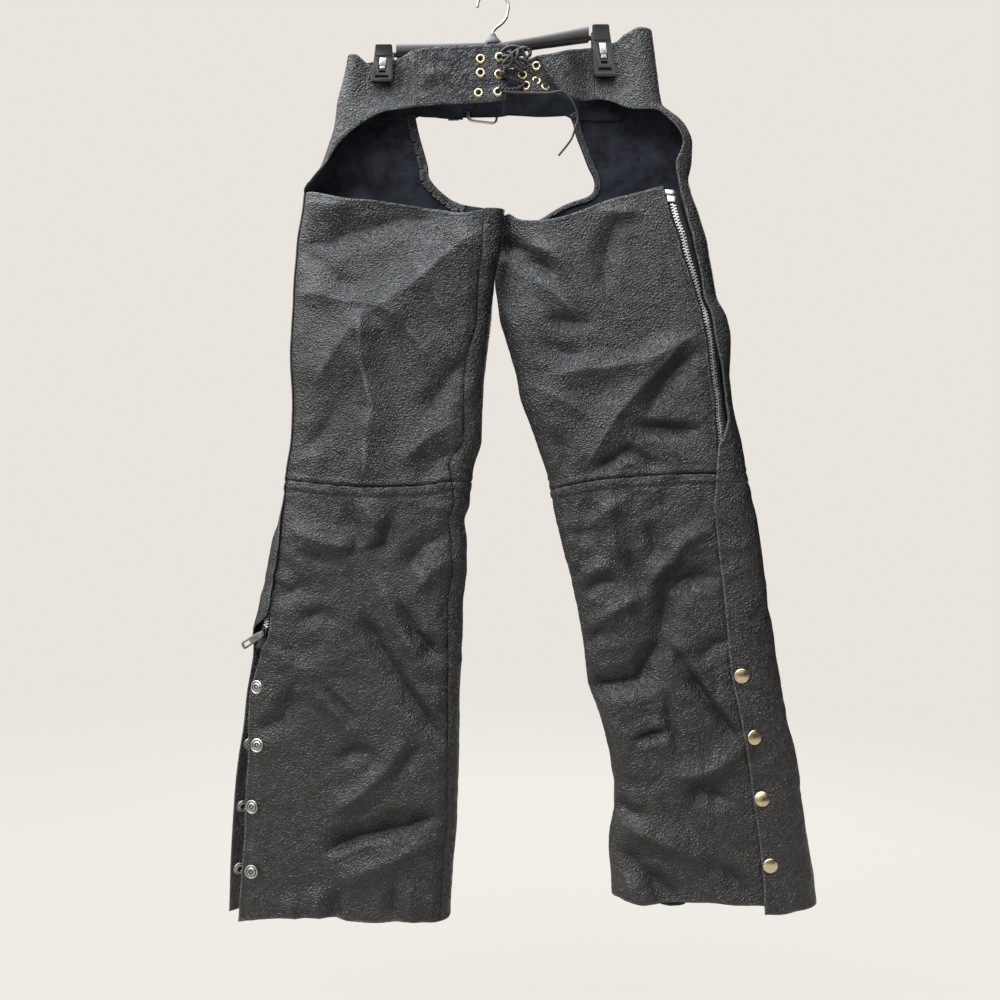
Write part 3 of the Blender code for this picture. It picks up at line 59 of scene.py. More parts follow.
camera = addObject("camera", bpy.data.cameras.new("camera"))
camera.location = view["place"]
camera.rotation_euler = (math.pi / 2, 0, 0)
camera.data.lens = view["lens"]
camera.data.sensor_width = view["sensor"]
bpy.context.scene.camera = camera


# shading helpers
def newMaterial(name, **settings):
    material = bpy.data.materials.new(name)
    material.use_nodes = True
    tree = material.node_tree
    shader = tree.nodes["Principled BSDF"]
    for socket, value in settings.items():
        shader.inputs[socket].default_value = value
    return material, tree, shader


def addNode(tree, kind, values=(), **settings):
    node = tree.nodes.new("ShaderNode" + kind)
    for key, value in settings.items():
        setattr(node, key, value)
    for socket, value in dict(values).items():
        if isinstance(value, bpy.types.NodeSocket):
            tree.links.new(value, node.inputs[socket])
        else:
            node.inputs[socket].default_value = value
    return node


def objectSpot(tree):
    return addNode(tree, "TexCoord").outputs["Object"]


def noise(tree, place, scale, detail, output=0, **more):
    return addNode(
        tree, "TexNoise", {"Vector": place, "Scale": scale, "Detail": detail, **more}
    ).outputs[output]


def reckon(tree, operation, first, second=None, clamp=False):
    values = {0: first} if second is None else {0: first, 1: second}
    return addNode(tree, "Math", values, operation=operation, use_clamp=clamp).outputs[0]


def moveBy(tree, operation, first, second):
    return addNode(tree, "VectorMath", {0: first, 1: second}, operation=operation).outputs[0]


def spread(tree, value, low, high, fromLow=0.0, fromHigh=1.0):
    node = addNode(tree, "MapRange", {0: value, 1: fromLow, 2: fromHigh, 3: low, 4: high})
    return node.outputs[0]


def blendColours(tree, share, first, second):
    node = addNode(tree, "Mix", {0: share, 6: first, 7: second}, data_type="RGBA")
    return node.outputs[2]


def addBump(tree, height, distance, strength=1.0, below=None):
    values = {"Height": height, "Distance": distance, "Strength": strength}
    if below is not None:
        values["Normal"] = below
    return addNode(tree, "Bump", values).outputs[0]


grain = {
    # cool and warm: the colour at the top and towards the bottom, a painted reflection of cool light above
    # and warm floor light below
    "cool": (0.0055, 0.0070, 0.0100, 1), "warm": (0.0215, 0.0170, 0.0136, 1),
    # dark: the colour of the painted shade in the grain's lines, the fine folds and the creases
    "dark": (0.0022, 0.0022, 0.0025, 1),
    # worn: the lighter colour of worn edges and of painted highlights along the ridge tops
    "worn": (0.115, 0.124, 0.138, 1), "rough": (0.23, 0.40), "roughest": 0.85,
    # how many to a metre, and how far the grain bends and the folds drift, in metres
    "pebble": 620.0, "cell": 270.0, "wrinkle": 150.0, "pore": 1500.0, "patch": 8.0, "bend": 0.006,
    "drift": 0.09,
    "slant": -48, "stretch": (2.3, 1, 0.8),  # the fine folds run across the leather at a slant
    # first pair: the heights over which the painted reflection turns from cool to warm
    "warmReflectionBelow": (-1.0, -0.35), "hips": (-0.27, -0.20), "shins": (-0.58, -0.70), "crackled": (0.9, 0.55, 0.3),
}


def makeLeather():
    material, tree, shader = newMaterial("blackLeather")
    place = objectSpot(tree)
    bent = moveBy(tree, "MULTIPLY", noise(tree, place, 60.0, 2.0, "Color"), (grain["bend"],) * 3)
    spot = moveBy(tree, "ADD", place, bent)
    drift = moveBy(tree, "MULTIPLY", noise(tree, place, 7.0, 1.0, "Color"), (grain["drift"],) * 3)
    slant = {
        0: moveBy(tree, "ADD", spot, drift), 2: (0, math.radians(grain["slant"]), 0), 3: grain["stretch"]
    }
    laid = addNode(tree, "Mapping", slant, vector_type="TEXTURE").outputs[0]
    patches = noise(tree, place, grain["patch"], 5.0, Roughness=0.62)
    wrinkled = noise(tree, laid, grain["wrinkle"], 2.5, Roughness=0.5)
    folds = reckon(tree, "ABSOLUTE", reckon(tree, "SUBTRACT", wrinkled, 0.5))
    worn = spread(tree, patches, 0.25, 1.0, 0.38, 0.62)
    folds = reckon(tree, "MULTIPLY", spread(tree, folds, 1.0, 0.0, 0.0, 0.10), worn)
    cells = addNode(tree, "TexVoronoi", {"Vector": spot, "Scale": grain["cell"]}, feature="DISTANCE_TO_EDGE")
    lines = spread(tree, cells.outputs["Distance"], 0.0, 1.0, 0.0, 0.42)
    pebbles = addNode(tree, "TexVoronoi", {"Vector": spot, "Scale": grain["pebble"]}, feature="SMOOTH_F1")
    pores = noise(tree, place, grain["pore"], 2.0)
    height = addNode(tree, "SeparateXYZ", {0: place}).outputs[2]
    # painted reflection: the colour runs from cool at the top to warm towards the bottom, for cool light
    # above and warm floor light below; the patches add random tone
    lower = spread(tree, height, 1.0, 0.0, *grain["warmReflectionBelow"])
    warmReflectionAndTone = reckon(tree, "ADD", lower, spread(tree, patches, -0.7, 0.7), clamp=True)
    # worn layer: worn edges, and painted highlights along the ridge tops
    wornAndHighlit = addNode(tree, "Attribute", attribute_name="worn").outputs["Fac"]
    wornHighlightSpeckle = reckon(tree, "MULTIPLY", wornAndHighlit, spread(tree, pores, 0.5, 1.3, 0.35, 0.65), clamp=True)
    plain = blendColours(tree, warmReflectionAndTone, grain["cool"], grain["warm"])
    # the hips and the shins are pebbled and crackled, the thighs are smoother
    hips = spread(tree, height, 0.0, grain["crackled"][0], *grain["hips"])
    shins = spread(tree, height, 0.0, grain["crackled"][1], *grain["shins"])
    rougher = reckon(tree, "ADD", reckon(tree, "MAXIMUM", hips, shins), grain["crackled"][2])
    coarse = reckon(tree, "MULTIPLY", folds, rougher)
    raisedParts = reckon(tree, "SUBTRACT", 1.0, coarse)
    # painted shade: darker in the grain's lines, the fine folds and the deep creases, and darker along the
    # inseam
    # the layer of painted shade in the crease troughs, with the darker inseam line
    creaseShadeAndSeamLine = addNode(tree, "Attribute", attribute_name="creaseShadeAndSeamLine").outputs["Fac"]
    bare = raisedParts
    for shade in (
        spread(tree, lines, 0.25, 1.0), spread(tree, pores, 0.5, 1.5, 0.3, 0.7), spread(tree, creaseShadeAndSeamLine, 1.0, 0.0)
    ):
        bare = reckon(tree, "MULTIPLY", bare, shade)
    toned = blendColours(tree, bare, grain["dark"], plain)
    tree.links.new(blendColours(tree, wornHighlightSpeckle, toned, grain["worn"]), shader.inputs["Base Color"])
    smooth = spread(tree, patches, *grain["rough"], 0.3, 0.7)
    matt = reckon(tree, "MAXIMUM", creaseShadeAndSeamLine, coarse)
    tree.links.new(spread(tree, matt, smooth, grain["roughest"]), shader.inputs["Roughness"])
    normal = None
    for raised, distance, strength in (
        (raisedParts, 0.0008, 0.5), (lines, 0.00075, 0.7), (pebbles.outputs["Distance"], 0.0016, 0.85),
        (pores, 0.00030, 0.75),
    ):
        normal = addBump(tree, raised, distance, strength, normal)
    tree.links.new(normal, shader.inputs["Normal"])
    return material


nap = {
    "sockets": {
        "Roughness": 0.95, "Sheen Weight": 0.28, "Sheen Roughness": 0.5, "Sheen Tint": (0.72, 0.80, 1.0, 1),
        "Specular IOR Level": 0.15,
    },
    "low": (0.0015, 0.0018, 0.0032, 1), "high": (0.024, 0.028, 0.038, 1), "patch": 30.0, "fibre": 1400.0,
}


def makeSuede():
    material, tree, shader = newMaterial("suede", **nap["sockets"])
    place = objectSpot(tree)
    patches = noise(tree, place, nap["patch"], 8.0, Roughness=0.74)
    fibres = noise(tree, place, nap["fibre"], 2.0)
    colour = blendColours(tree, spread(tree, patches, 0, 1, 0.36, 0.66), nap["low"], nap["high"])
    tree.links.new(colour, shader.inputs["Base Color"])
    tree.links.new(
        addBump(tree, fibres, 0.0004, 0.8, addBump(tree, patches, 0.002, 0.5)), shader.inputs["Normal"]
    )
    return material


def makeFibrous(name, rough, scale, low, high, bump):  # cut edges, thongs and thread
    material, tree, shader = newMaterial(name, Roughness=rough)
    fibres = noise(tree, objectSpot(tree), scale, 3.0)
    tree.links.new(blendColours(tree, fibres, low, high), shader.inputs["Base Color"])
    tree.links.new(addBump(tree, fibres, *bump), shader.inputs["Normal"])
    return material


def makeMetal(name, colour, rough, tarnish):
    material, tree, shader = newMaterial(name, Metallic=1.0)
    place = objectSpot(tree)
    cloud = noise(tree, place, 320.0, 4.0)
    scratch = noise(tree, place, 2600.0, 2.0)
    toned = blendColours(tree, spread(tree, cloud, 0, 0.8, 0.5, 0.75), colour, tarnish)
    tree.links.new(toned, shader.inputs["Base Color"])
    tree.links.new(spread(tree, cloud, rough, rough + 0.22, 0.35, 0.75), shader.inputs["Roughness"])
    tree.links.new(addBump(tree, scratch, 0.00005, 0.4), shader.inputs["Normal"])
    return material


def makePlastic(name, colour, rough, texture, shine):
    material, tree, shader = newMaterial(name)
    shader.inputs["Specular IOR Level"].default_value = shine
    place = objectSpot(tree)
    speck = noise(tree, place, 1500.0, 2.0)
    haze = noise(tree, place, 45.0, 3.0)
    dull = tuple(min(1.0, c * 1.7) for c in colour[:3]) + (1,)
    tree.links.new(blendColours(tree, haze, colour, dull), shader.inputs["Base Color"])
    tree.links.new(spread(tree, haze, rough - 0.06, rough + 0.1), shader.inputs["Roughness"])
    tree.links.new(addBump(tree, speck, texture, 0.5), shader.inputs["Normal"])
    return material


def makeWoven(name, colour, light, threads):
    material, tree, shader = newMaterial(name, Roughness=0.8)
    place = addNode(tree, "TexCoord").outputs["UV"]
    waves = {"Vector": place, "Scale": threads, "Distortion": 0.4}
    across, along = (addNode(tree, "TexWave", waves, bands_direction=way).outputs[1] for way in "XY")
    weave = reckon(tree, "MULTIPLY", across, along)
    tree.links.new(blendColours(tree, weave, colour, light), shader.inputs["Base Color"])
    tree.links.new(addBump(tree, weave, 0.0002, 0.8), shader.inputs["Normal"])
    return material


thongLook = (0.5, 520.0, (0.010, 0.010, 0.011, 1), (0.028, 0.026, 0.025, 1), (0.0005, 0.7))
finishes = {
    "leather": makeLeather(),
    "suede": makeSuede(),
    "cutEdge": makeFibrous(
        "cutEdge", 0.7, 700.0, (0.020, 0.019, 0.019, 1), (0.055, 0.052, 0.05, 1), (0.0003, 0.6)
    ),
    "steel": makeMetal("nickel", (0.42, 0.415, 0.40, 1), 0.24, (0.22, 0.21, 0.195, 1)),
    "zipMetal": makeMetal("zipMetal", (0.60, 0.60, 0.58, 1), 0.26, (0.32, 0.31, 0.29, 1)),
    "brass": makeMetal("brass", (0.62, 0.52, 0.34, 1), 0.22, (0.36, 0.28, 0.16, 1)),
    "hookSteel": makeMetal("hookWire", (0.30, 0.295, 0.285, 1), 0.28, (0.14, 0.135, 0.125, 1)),
    "pull": makeMetal("pullMetal", (0.050, 0.047, 0.044, 1), 0.30, (0.022, 0.020, 0.019, 1)),
    "bar": makePlastic("barPlastic", (0.016, 0.016, 0.017, 1), 0.22, 0.00004, 0.36),
    "clip": makePlastic("clipPlastic", (0.017, 0.018, 0.020, 1), 0.42, 0.00010, 0.3),
    "tape": makeWoven("zipTape", (0.006, 0.006, 0.007, 1), (0.024, 0.024, 0.026, 1), 260.0),
    "thread": makeFibrous("thread", *thongLook),
    "thong": makeFibrous("thong", *thongLook),
}
print("materials made")

# the lace: through the eyelets, a loop at the knot and the hanging end, in millimetres
laces = {
    "thick": {"crossing": 3.2, "bow": 3.4, "end": 2.6},
    "crossing": (
        (6, -18.2, -84), (20, -19, -88), (36, -20.5, -97), (30, -21, -103), (16, -19.5, -104),
        (7, -18.4, -106),
        (16, -19, -110), (36, -19.5, -118), (30, -19.5, -124), (18, -19, -125), (7, -18.2, -123),
    ),
    "bow": (
        (12, -23, -86), (22, -24.5, -82), (36, -24.5, -79), (44, -24, -84), (38, -25, -92), (24, -25.5, -97),
        (14, -24.5, -102), (13, -24, -110),
    ),
    "end": (
        (12, -22, -129), (27, -22.4, -130.5), (45, -22.4, -131), (66, -22.2, -131), (82, -22, -129),
        (93, -21, -140),
        (100, -18, -156), (97, -17, -170), (92, -15, -183), (78, -12, -200),
    ),
}


def smoothRoute(points, step, parts=16):  # even points on a smooth curve through these ones
    points = np.array(points, float)
    ends = np.vstack((2 * points[0] - points[1], points, 2 * points[-1] - points[-2]))
    fine = []
    for before, start, end, after in zip(ends[:-3], ends[1:-2], ends[2:-1], ends[3:]):
        for t in np.arange(0, 1, 1 / parts):
            square, cube = 2 * before - 5 * start + 4 * end - after, 3 * start - before - 3 * end + after
            bend = square * t * t + cube * t**3
            fine.append(0.5 * (2 * start + (end - before) * t + bend))
    fine = np.array(fine + [points[-1]])
    lengths = np.concatenate(([0], np.cumsum(np.linalg.norm(np.diff(fine, axis=0), axis=1))))
    at = np.linspace(0, lengths[-1], max(int(lengths[-1] / step), 1) + 1)
    return np.stack([np.interp(at, lengths, column) for column in fine.T], axis=1)


def newCurve(name, radius, sides):
    curve = bpy.data.curves.new(name, "CURVE")
    curve.dimensions = "3D"
    curve.bevel_depth = radius * mm
    curve.bevel_resolution = sides
    curve.use_fill_caps = True
    return curve


def addSpline(curve, points, share=1.0):
    spline = curve.splines.new("POLY")
    spline.points.add(len(points) - 1)
    for spot, point in zip(spline.points, points):
        spot.co = (*(point * mm), 1)
        spot.radius = share
    return spline


def makeWire(name, route, thick, step, finish, sides=3):
    curve = newCurve(name, thick / 2, sides)
    points = smoothRoute(route, step)
    addSpline(curve, points)
    curve.materials.append(finishes[finish])
    wire = addObject(name, curve)
    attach(wire, "chaps")
    length = float(np.linalg.norm(np.diff(points, axis=0), axis=1).sum()) * mm
    return wire, length


for part, farEnd, lay in (
    ("crossing", "object", "taut"), ("bow", "object", "loose"), ("end", "bare", "hanging")
):
    thick = laces["thick"][part]
    lace, laceLength = makeWire("lace" + part.capitalize(), laces[part], thick, 1.5, "thong")
    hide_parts("lace_" + part)
    start = tuple(value * mm for value in laces[part][0])
    print(f"lace {part}: {laceLength:.3f} m")

# the thong's twist along the crossing and the bow, and the turns of the knot
twist = {"reach": 1.5, "thick": 1.9, "pitch": 8.5, "step": 0.8, "parts": ("crossing", "bow")}
knotThick = 3.9
knot = (
    ((11, -24, -89), (19, -27.5, -91), (27, -27.5, -97), (35, -25, -104)),
    ((12, -25, -98), (19, -28.5, -92), (27, -29, -85), (37, -26, -80)),
    ((17, -25, -84), (21, -29.5, -88), (23, -29, -96), (19, -25, -101)),
    ((27, -25, -80), (29, -29.5, -86), (28, -29.5, -93), (23, -25, -98)),
    ((11, -24, -83), (17, -27, -80), (26, -28, -79.5), (34, -26.5, -83), (38, -25, -90)),
    ((9, -24, -94), (18, -26.5, -96), (28, -26.5, -92.5), (40, -24.5, -95)),
    ((14, -23.5, -79), (20, -25.5, -86), (26, -26, -93), (37, -24.5, -100)),
    ((19, -23.5, -100), (25, -25.5, -92), (31, -26, -85), (36, -24.5, -79)),
    ((10, -23, -87), (18, -24.5, -88), (28, -25, -88), (37, -24, -86)),
    ((10, -23, -99.5), (18, -25, -101.5), (28, -25, -100.5), (38, -23.5, -103)),
    ((13, -24, -105), (21, -25.5, -99), (29, -25.5, -104), (36, -24, -108)),
)
for part in twist["parts"]:
    middle = smoothRoute(laces[part], twist["step"])
    ahead = np.gradient(middle, axis=0)
    ahead /= np.linalg.norm(ahead, axis=1, keepdims=True)
    side = np.cross(ahead, (0, 1, 0))
    side /= np.linalg.norm(side, axis=1, keepdims=True)
    over = np.cross(side, ahead)
    angles = np.arange(len(middle)) * twist["step"] / twist["pitch"] * 2 * math.pi
    for number, start in enumerate((0, math.pi)):
        away = side * np.cos(angles + start)[:, None] + over * np.sin(angles + start)[:, None]
        strandName = f"lace{part.capitalize()}Strand{number}"
        strand, _ = makeWire(
            strandName, middle + away * twist["reach"], twist["thick"], 0.9, "thong", sides=2
        )
for number, route in enumerate(knot):
    knotTurn, _ = makeWire(f"laceKnot{number}", route, knotThick, 1.2, "thong")

# rows of each leg's tube: height, outer fold, inner fold, half depth, reach of the fold's rounding
legs = {
    "left": {
        "name": "left", "sign": -1, "shift": 0.0, "crotch": -267, "liftEnd": (-785, -762),
        "opens": (-762, -800), "liftReach": 45,
        "setBack": -10.0,
        "tube": (
            (-50, -170, 200, 14, 20), (-76, -174, 200, 14, 22), (-98, -178, 200, 14, 24),
            (-134, -187, 200, 14, 26),
            (-160, -190, 200, 15, 28), (-182, -197, 200, 17, 32), (-210, -207, 200, 18, 35),
            (-228, -219, 110, 20, 38),
            (-238, -227, 60, 21, 40), (-262, -230, 15, 22, 43), (-296, -236, 11, 22, 45),
            (-320, -238, 8, 22, 45),
            (-344, -240, 3, 22, 45), (-368, -241, 0, 22, 45), (-392, -242, -2, 22, 45),
            (-440, -244, -8, 21, 45),
            (-488, -242, -12, 20, 44), (-536, -244, -13, 20, 44), (-570, -249, -23, 20, 42),
            (-596, -251, -27, 20, 42),
            (-614, -253, -28, 20, 42), (-632, -256, -34, 20, 42), (-656, -264, -31, 20, 42),
            (-692, -271, -31, 20, 42),
            (-710, -274, -33, 20, 42), (-728, -279, -36, 20.5, 42), (-752, -284, -36.5, 21, 42),
            (-776, -288.5, -37, 21, 42),
            (-805, -293, -38, 21, 42), (-843, -299.5, -40, 22, 42), (-882, -303.5, -40, 22, 42),
            (-920, -309.5, -40.5, 22.5, 42), (-959, -314, -42, 23, 42), (-997, -316.5, -43.5, 23, 42),
            (-1040, -319, -47, 24, 42), (-1088, -320.5, -50.5, 24, 42), (-1130, -321.5, -52, 24, 42),
        ),
        "inseam": (
            (-262, 37), (-300, 37), (-326, 34.5), (-400, 31), (-443, 36.5), (-540, 35), (-560, 41),
            (-606, 32), (-752, 30),
            (-860, 26.5), (-1120, 25),
        ),
        "zipEdge": (
            (-236, 8), (-600, 8), (-650, -4), (-690, -15), (-720, -22.5), (-744, -30), (-768, -33),
            (-792, -22), (-810, -17.5),
            (-830, -14), (-863, -15.3), (-921, -25.6), (-973, -29.3), (-1024, -31), (-1076, -28.3),
            (-1120, -26),
        ),
        "flapEdge": (
            (-236, 2.5), (-600, 2.5), (-620, -3), (-635, -10), (-651, -19), (-670, -24), (-711, -24.5),
            (-735, -29),
            (-746, -27), (-757, -14), (-768, -2), (-776, 1), (-1120, 1),
        ),
        "thighTop": (
            (-228, -240), (-179, -254), (-142, -256), (-94, -262), (-58, -269), (-36, -273), (-10, -269)
        ),
        "knee": ((-245, -585), (-159, -593), (-94, -592), (-75, -590), (-50, -586)),
        "hem": (
            (-298, -1104), (-284, -1101), (-246, -1098), (-199, -1097), (-171, -1101), (-143, -1103),
            (-96, -1102), (-62, -1105)
        ),
        "hemFar": ((-316, -1106), (-250, -1099), (-150, -1098), (-54, -1102)),
        "flapHem": (), "hemFarEnds": (-1106, -1105),
        "hipEdge": (
            (-96, -143.5), (-112, -144), (-126, -146), (-138, -151), (-159, -165), (-184, -188), (-198, -208),
            (-217, -232),
        ),
        "seatEdge": ((-95, -141), (-90, -164), (-80, -199), (-76, -218), (-49, -242), (-11, -253)),
        "waistNear": ((-96, -75), (-115, -81), (-143, -89), (-162, -78)),
        "waistFar": ((-168, -77), (-150, -86)),
    },
    "right": {
        "name": "right", "sign": 1, "shift": 700.0, "crotch": -266, "liftEnd": (-1300, -1250),
        "opens": (-1300, -1400), "liftReach": 12,
        "setBack": 10.0,
        "tube": (
            (-30, 188, -200, 14, 20), (-50, 191, -200, 14, 22), (-97, 197, -200, 14, 24),
            (-135, 203, -200, 14, 26),
            (-147, 217, -200, 14.5, 27), (-152, 224, -200, 15, 28), (-164, 233, -200, 16, 30),
            (-180, 239, -200, 17, 32),
            (-204, 238, -200, 18, 35), (-226, 234, -110, 20, 38), (-241, 237, -40, 21, 40),
            (-262, 245, 9, 22, 43),
            (-281, 251, 8, 22, 43), (-300, 257, 7, 22, 45), (-320, 260, 4.5, 22, 45), (-344, 264, 3, 22, 45),
            (-368, 268, 6, 22, 45), (-392, 280, 9, 22, 45), (-416, 284, 16, 22, 45), (-458, 283, 28, 21, 45),
            (-488, 286, 34, 20, 44), (-512, 290.5, 43, 20, 44), (-536, 297, 52, 20, 44),
            (-584, 305, 67, 20, 42),
            (-632, 316, 77, 20, 42), (-680, 323, 89, 20, 42), (-728, 329, 100, 21, 42),
            (-776, 337, 108, 21, 42),
            (-824, 344, 114, 21, 42), (-872, 352, 131, 22, 42), (-920, 364, 142, 22, 42),
            (-968, 370, 146, 23, 42),
            (-1016, 377, 139, 23, 42), (-1064, 384, 142, 24, 42), (-1130, 390, 147, 24, 42),
        ),
        "inseam": ((-262, -7), (-1120, -7)),
        "zipEdgeX": (
            (-236, 199), (-258, 204), (-278, 209), (-313, 220), (-342, 230), (-370, 239), (-397, 245),
            (-433, 252), (-489, 260),
            (-522, 262), (-550, 263), (-600, 268), (-700, 286), (-770, 300), (-816, 310), (-888, 325),
            (-961, 334), (-1039, 343),
            (-1120, 350),
        ),
        "flapEdgeX": (
            (-236, 217), (-255, 221), (-300, 233), (-349, 244), (-408, 258), (-471, 270), (-508, 275),
            (-530, 271), (-546, 264),
            (-592, 261), (-619, 259), (-673, 265), (-726, 271), (-810, 279), (-858, 288), (-912, 298),
            (-999, 310), (-1120, 319),
        ),
        "thighTop": (
            (198, -240), (176, -246), (133, -257), (103, -269), (73, -278), (44, -278.5), (30, -275),
            (20, -267)
        ),
        "knee": ((70, -596), (90, -591), (130, -584), (213, -578), (266, -577)),
        "hem": ((145, -1079), (190, -1081), (256, -1080), (290, -1083), (348, -1084)),
        "hemFar": (
            (150, -1088), (190, -1094), (206, -1106), (233, -1105), (246, -1094), (300, -1088), (386, -1087)
        ),
        "flapHem": ((354, -1089), (336, -1092)), "hemFarEnds": (-1092, -1086),
        "hipEdge": (
            (122, -131), (134, -132), (143, -134.5), (152, -139.5), (160, -143), (171, -145.3), (183, -145.5),
            (196, -147),
            (205, -154), (218, -167), (225, -181), (222.5, -194), (216.5, -207), (215.5, -222), (217, -235),
        ),
        "seatEdge": (
            (93, -141), (97, -150), (101, -165), (108, -182), (116, -202), (122.5, -215), (124, -225),
            (121, -233),
            (113, -238), (100, -242), (85, -248), (71, -256), (57, -264), (44, -269),
        ),
        "waistNear": ((122, -66), (147, -60.5), (156, -53.5), (171, -48.5)),
        "waistFar": ((178, -48), (152, -62)),
    },
}

waist = {
    "pinchWide": 34.0, "pinchHigh": 42.0, "pinchShare": 0.87, "bite": 6.0, "sag": 9.0, "sagSpan": (118, 45),
    "sagHeights": (-245, -150)
}
clips = {
    "left": {"x": -131, "top": -67, "bottom": -111, "lean": -4.0},
    "right": {"x": 131, "top": -43, "bottom": -105, "lean": 6.0},
}
flap = {"lift": 3.6, "top": (-228, -205), "fade": 45.0, "openLift": 0.36}
knee = {"far": -587.0, "hipTop": -240.0, "gap": 0.25}


def smoothStep(low, high, value):
    share = np.clip((np.asarray(value, float) - low) / (high - low), 0, 1)
    return share * share * (3 - 2 * share)


def hump(away, wide):
    return np.exp(-((away / wide) ** 2))


def readSmooth(rows, at):  # monotone cubic reading of rows that start with a falling height
    table = np.array(rows, float)[::-1]
    heights, values = table[:, 0], table[:, 1:]
    at = np.clip(np.asarray(at, float), heights[0], heights[-1])
    row = np.clip(np.searchsorted(heights, at) - 1, 0, len(heights) - 2)
    step = np.diff(heights)
    slope = np.diff(values, axis=0) / step[:, None]
    sameWay = slope[1:] * slope[:-1] > 0
    tangent = np.zeros_like(values)
    added = np.where(sameWay, slope[1:] + slope[:-1], 1)
    tangent[1:-1] = np.where(sameWay, 2 * slope[1:] * slope[:-1] / added, 0)
    s = ((at - heights[row]) / step[row])[..., None]
    bend = step[row][..., None] * (tangent[row] * s * (1 - s) ** 2 - tangent[row + 1] * s * s * (1 - s))
    return values[row] * (1 + 2 * s) * (1 - s) ** 2 + values[row + 1] * s * s * (3 - 2 * s) + bend


def flapLift(leg, z):
    return flap["lift"] * smoothStep(*leg["liftEnd"], z) * (1 - smoothStep(*flap["top"], z))


def tubeAt(leg, z):
    value = readSmooth(leg["tube"], z)
    outer = value[..., 0] - leg["sign"] * (flapLift(leg, z) + hide / 2)
    inner = value[..., 1] + leg["sign"] * hide / 2
    depth, rounding = value[..., 2], value[..., 3]
    arc = math.pi / 2 * np.sqrt((rounding**2 + depth**2) / 2)
    flat = np.abs(outer - inner) - 2 * rounding
    return outer, inner, depth, rounding, arc, flat


def halfLength(leg, z):  # along the leather from the outer fold to the inner one
    _, _, _, _, arc, flat = tubeAt(leg, z)
    return 2 * arc + flat


def profileAt(way, arc, flat, rounding, openShare):  # reach across the tube and share of its depth
    half = 2 * arc + flat
    share = np.clip(way / arc, 0, 1)
    turn = share * math.pi / 2
    turnIn = np.clip((half - way) / arc, 0, 1) * math.pi / 2
    foldReach = rounding * (1 - np.cos(turn)) * (1 - openShare) + rounding * share * openShare
    inside = np.where(half - way < arc, rounding + flat + rounding * np.cos(turnIn), rounding + way - arc)
    opened = flap["openLift"] + (1 - flap["openLift"]) * np.sin(turn)
    lift = np.sin(turn) * (1 - openShare) + opened * openShare
    return np.where(way < arc, foldReach, inside), lift * np.sin(turnIn)


def nearAround(leg, x, z):  # distance along the leather, negative on the near side, of the point at x
    outer, _, _, rounding, arc, flat = tubeAt(leg, z)
    ways = np.linspace(0, 2 * arc + flat, 400)
    reach, _ = profileAt(ways, arc, flat, rounding, smoothStep(*leg["opens"], z))
    return -float(np.interp((outer - x) * leg["sign"], reach, ways))


def pinch(x, z):  # share of the depth that the clips leave
    share = np.ones(np.broadcast(x, z).shape)
    for clip in clips.values():
        below = np.minimum(z - (clip["bottom"] + waist["bite"]), 0)
        aside = (x - clip["x"]) / waist["pinchWide"]
        share = share - waist["pinchShare"] * np.exp(-(aside**4) - (below / waist["pinchHigh"]) ** 2)
    return share


def frontSag(x, z):
    return waist["sag"] * smoothStep(*waist["sagSpan"], np.abs(x)) * smoothStep(*waist["sagHeights"], z)


def legMiddle(leg, around, z):  # middle of the leather, before its creases
    outer, _, depth, rounding, arc, flat = tubeAt(leg, z)
    half = 2 * arc + flat
    past = np.abs(around) > half
    far = (around > 0) ^ past
    way = np.where(past, 2 * half - np.abs(around), np.abs(around))
    reach, bulge = profileAt(way, arc, flat, rounding, smoothStep(*leg["opens"], z))
    x = outer - leg["sign"] * reach
    y = np.where(far, 1, -1) * (depth * pinch(x, z) + np.where(far, frontSag(x, z), 0)) * bulge
    # below the crotch the inner folds pass each other
    y = y + leg["setBack"] * smoothStep(-400, -345, z) * (1 - smoothStep(0, 90, half - way))
    return np.stack((x, y, z), axis=-1), far, way, half


# soft noise on a grid of turned slopes, from -1 to 1
def softNoise(u, v, seed):
    lowU, lowV = np.floor(u), np.floor(v)
    fu, fv = u - lowU, v - lowV
    blendU, blendV = fu**3 * (fu * (fu * 6 - 15) + 10), fv**3 * (fv * (fv * 6 - 15) + 10)

    def corner(du, dv):
        iu, iv = (lowU + du).astype(np.int64), (lowV + dv).astype(np.int64)
        mixed = (iu * 374761393 + iv * 668265263 + seed * 974711) & 0xFFFFFFFF
        mixed = ((mixed ^ (mixed >> 13)) * 1274126177) & 0xFFFFFFFF
        angle = ((mixed ^ (mixed >> 16)) & 0xFFFF) / 65536 * 2 * math.pi
        return np.cos(angle) * (fu - du) + np.sin(angle) * (fv - dv)

    top = corner(0, 0) * (1 - blendU) + corner(1, 0) * blendU
    bottom = corner(0, 1) * (1 - blendU) + corner(1, 1) * blendU
    return (top * (1 - blendV) + bottom * blendV) * 1.5


def ridged(u, v, seed):  # crests along the lines where the noise is zero
    return 1 - 2.4 * np.sqrt(softNoise(u, v, seed) ** 2 + 0.004)


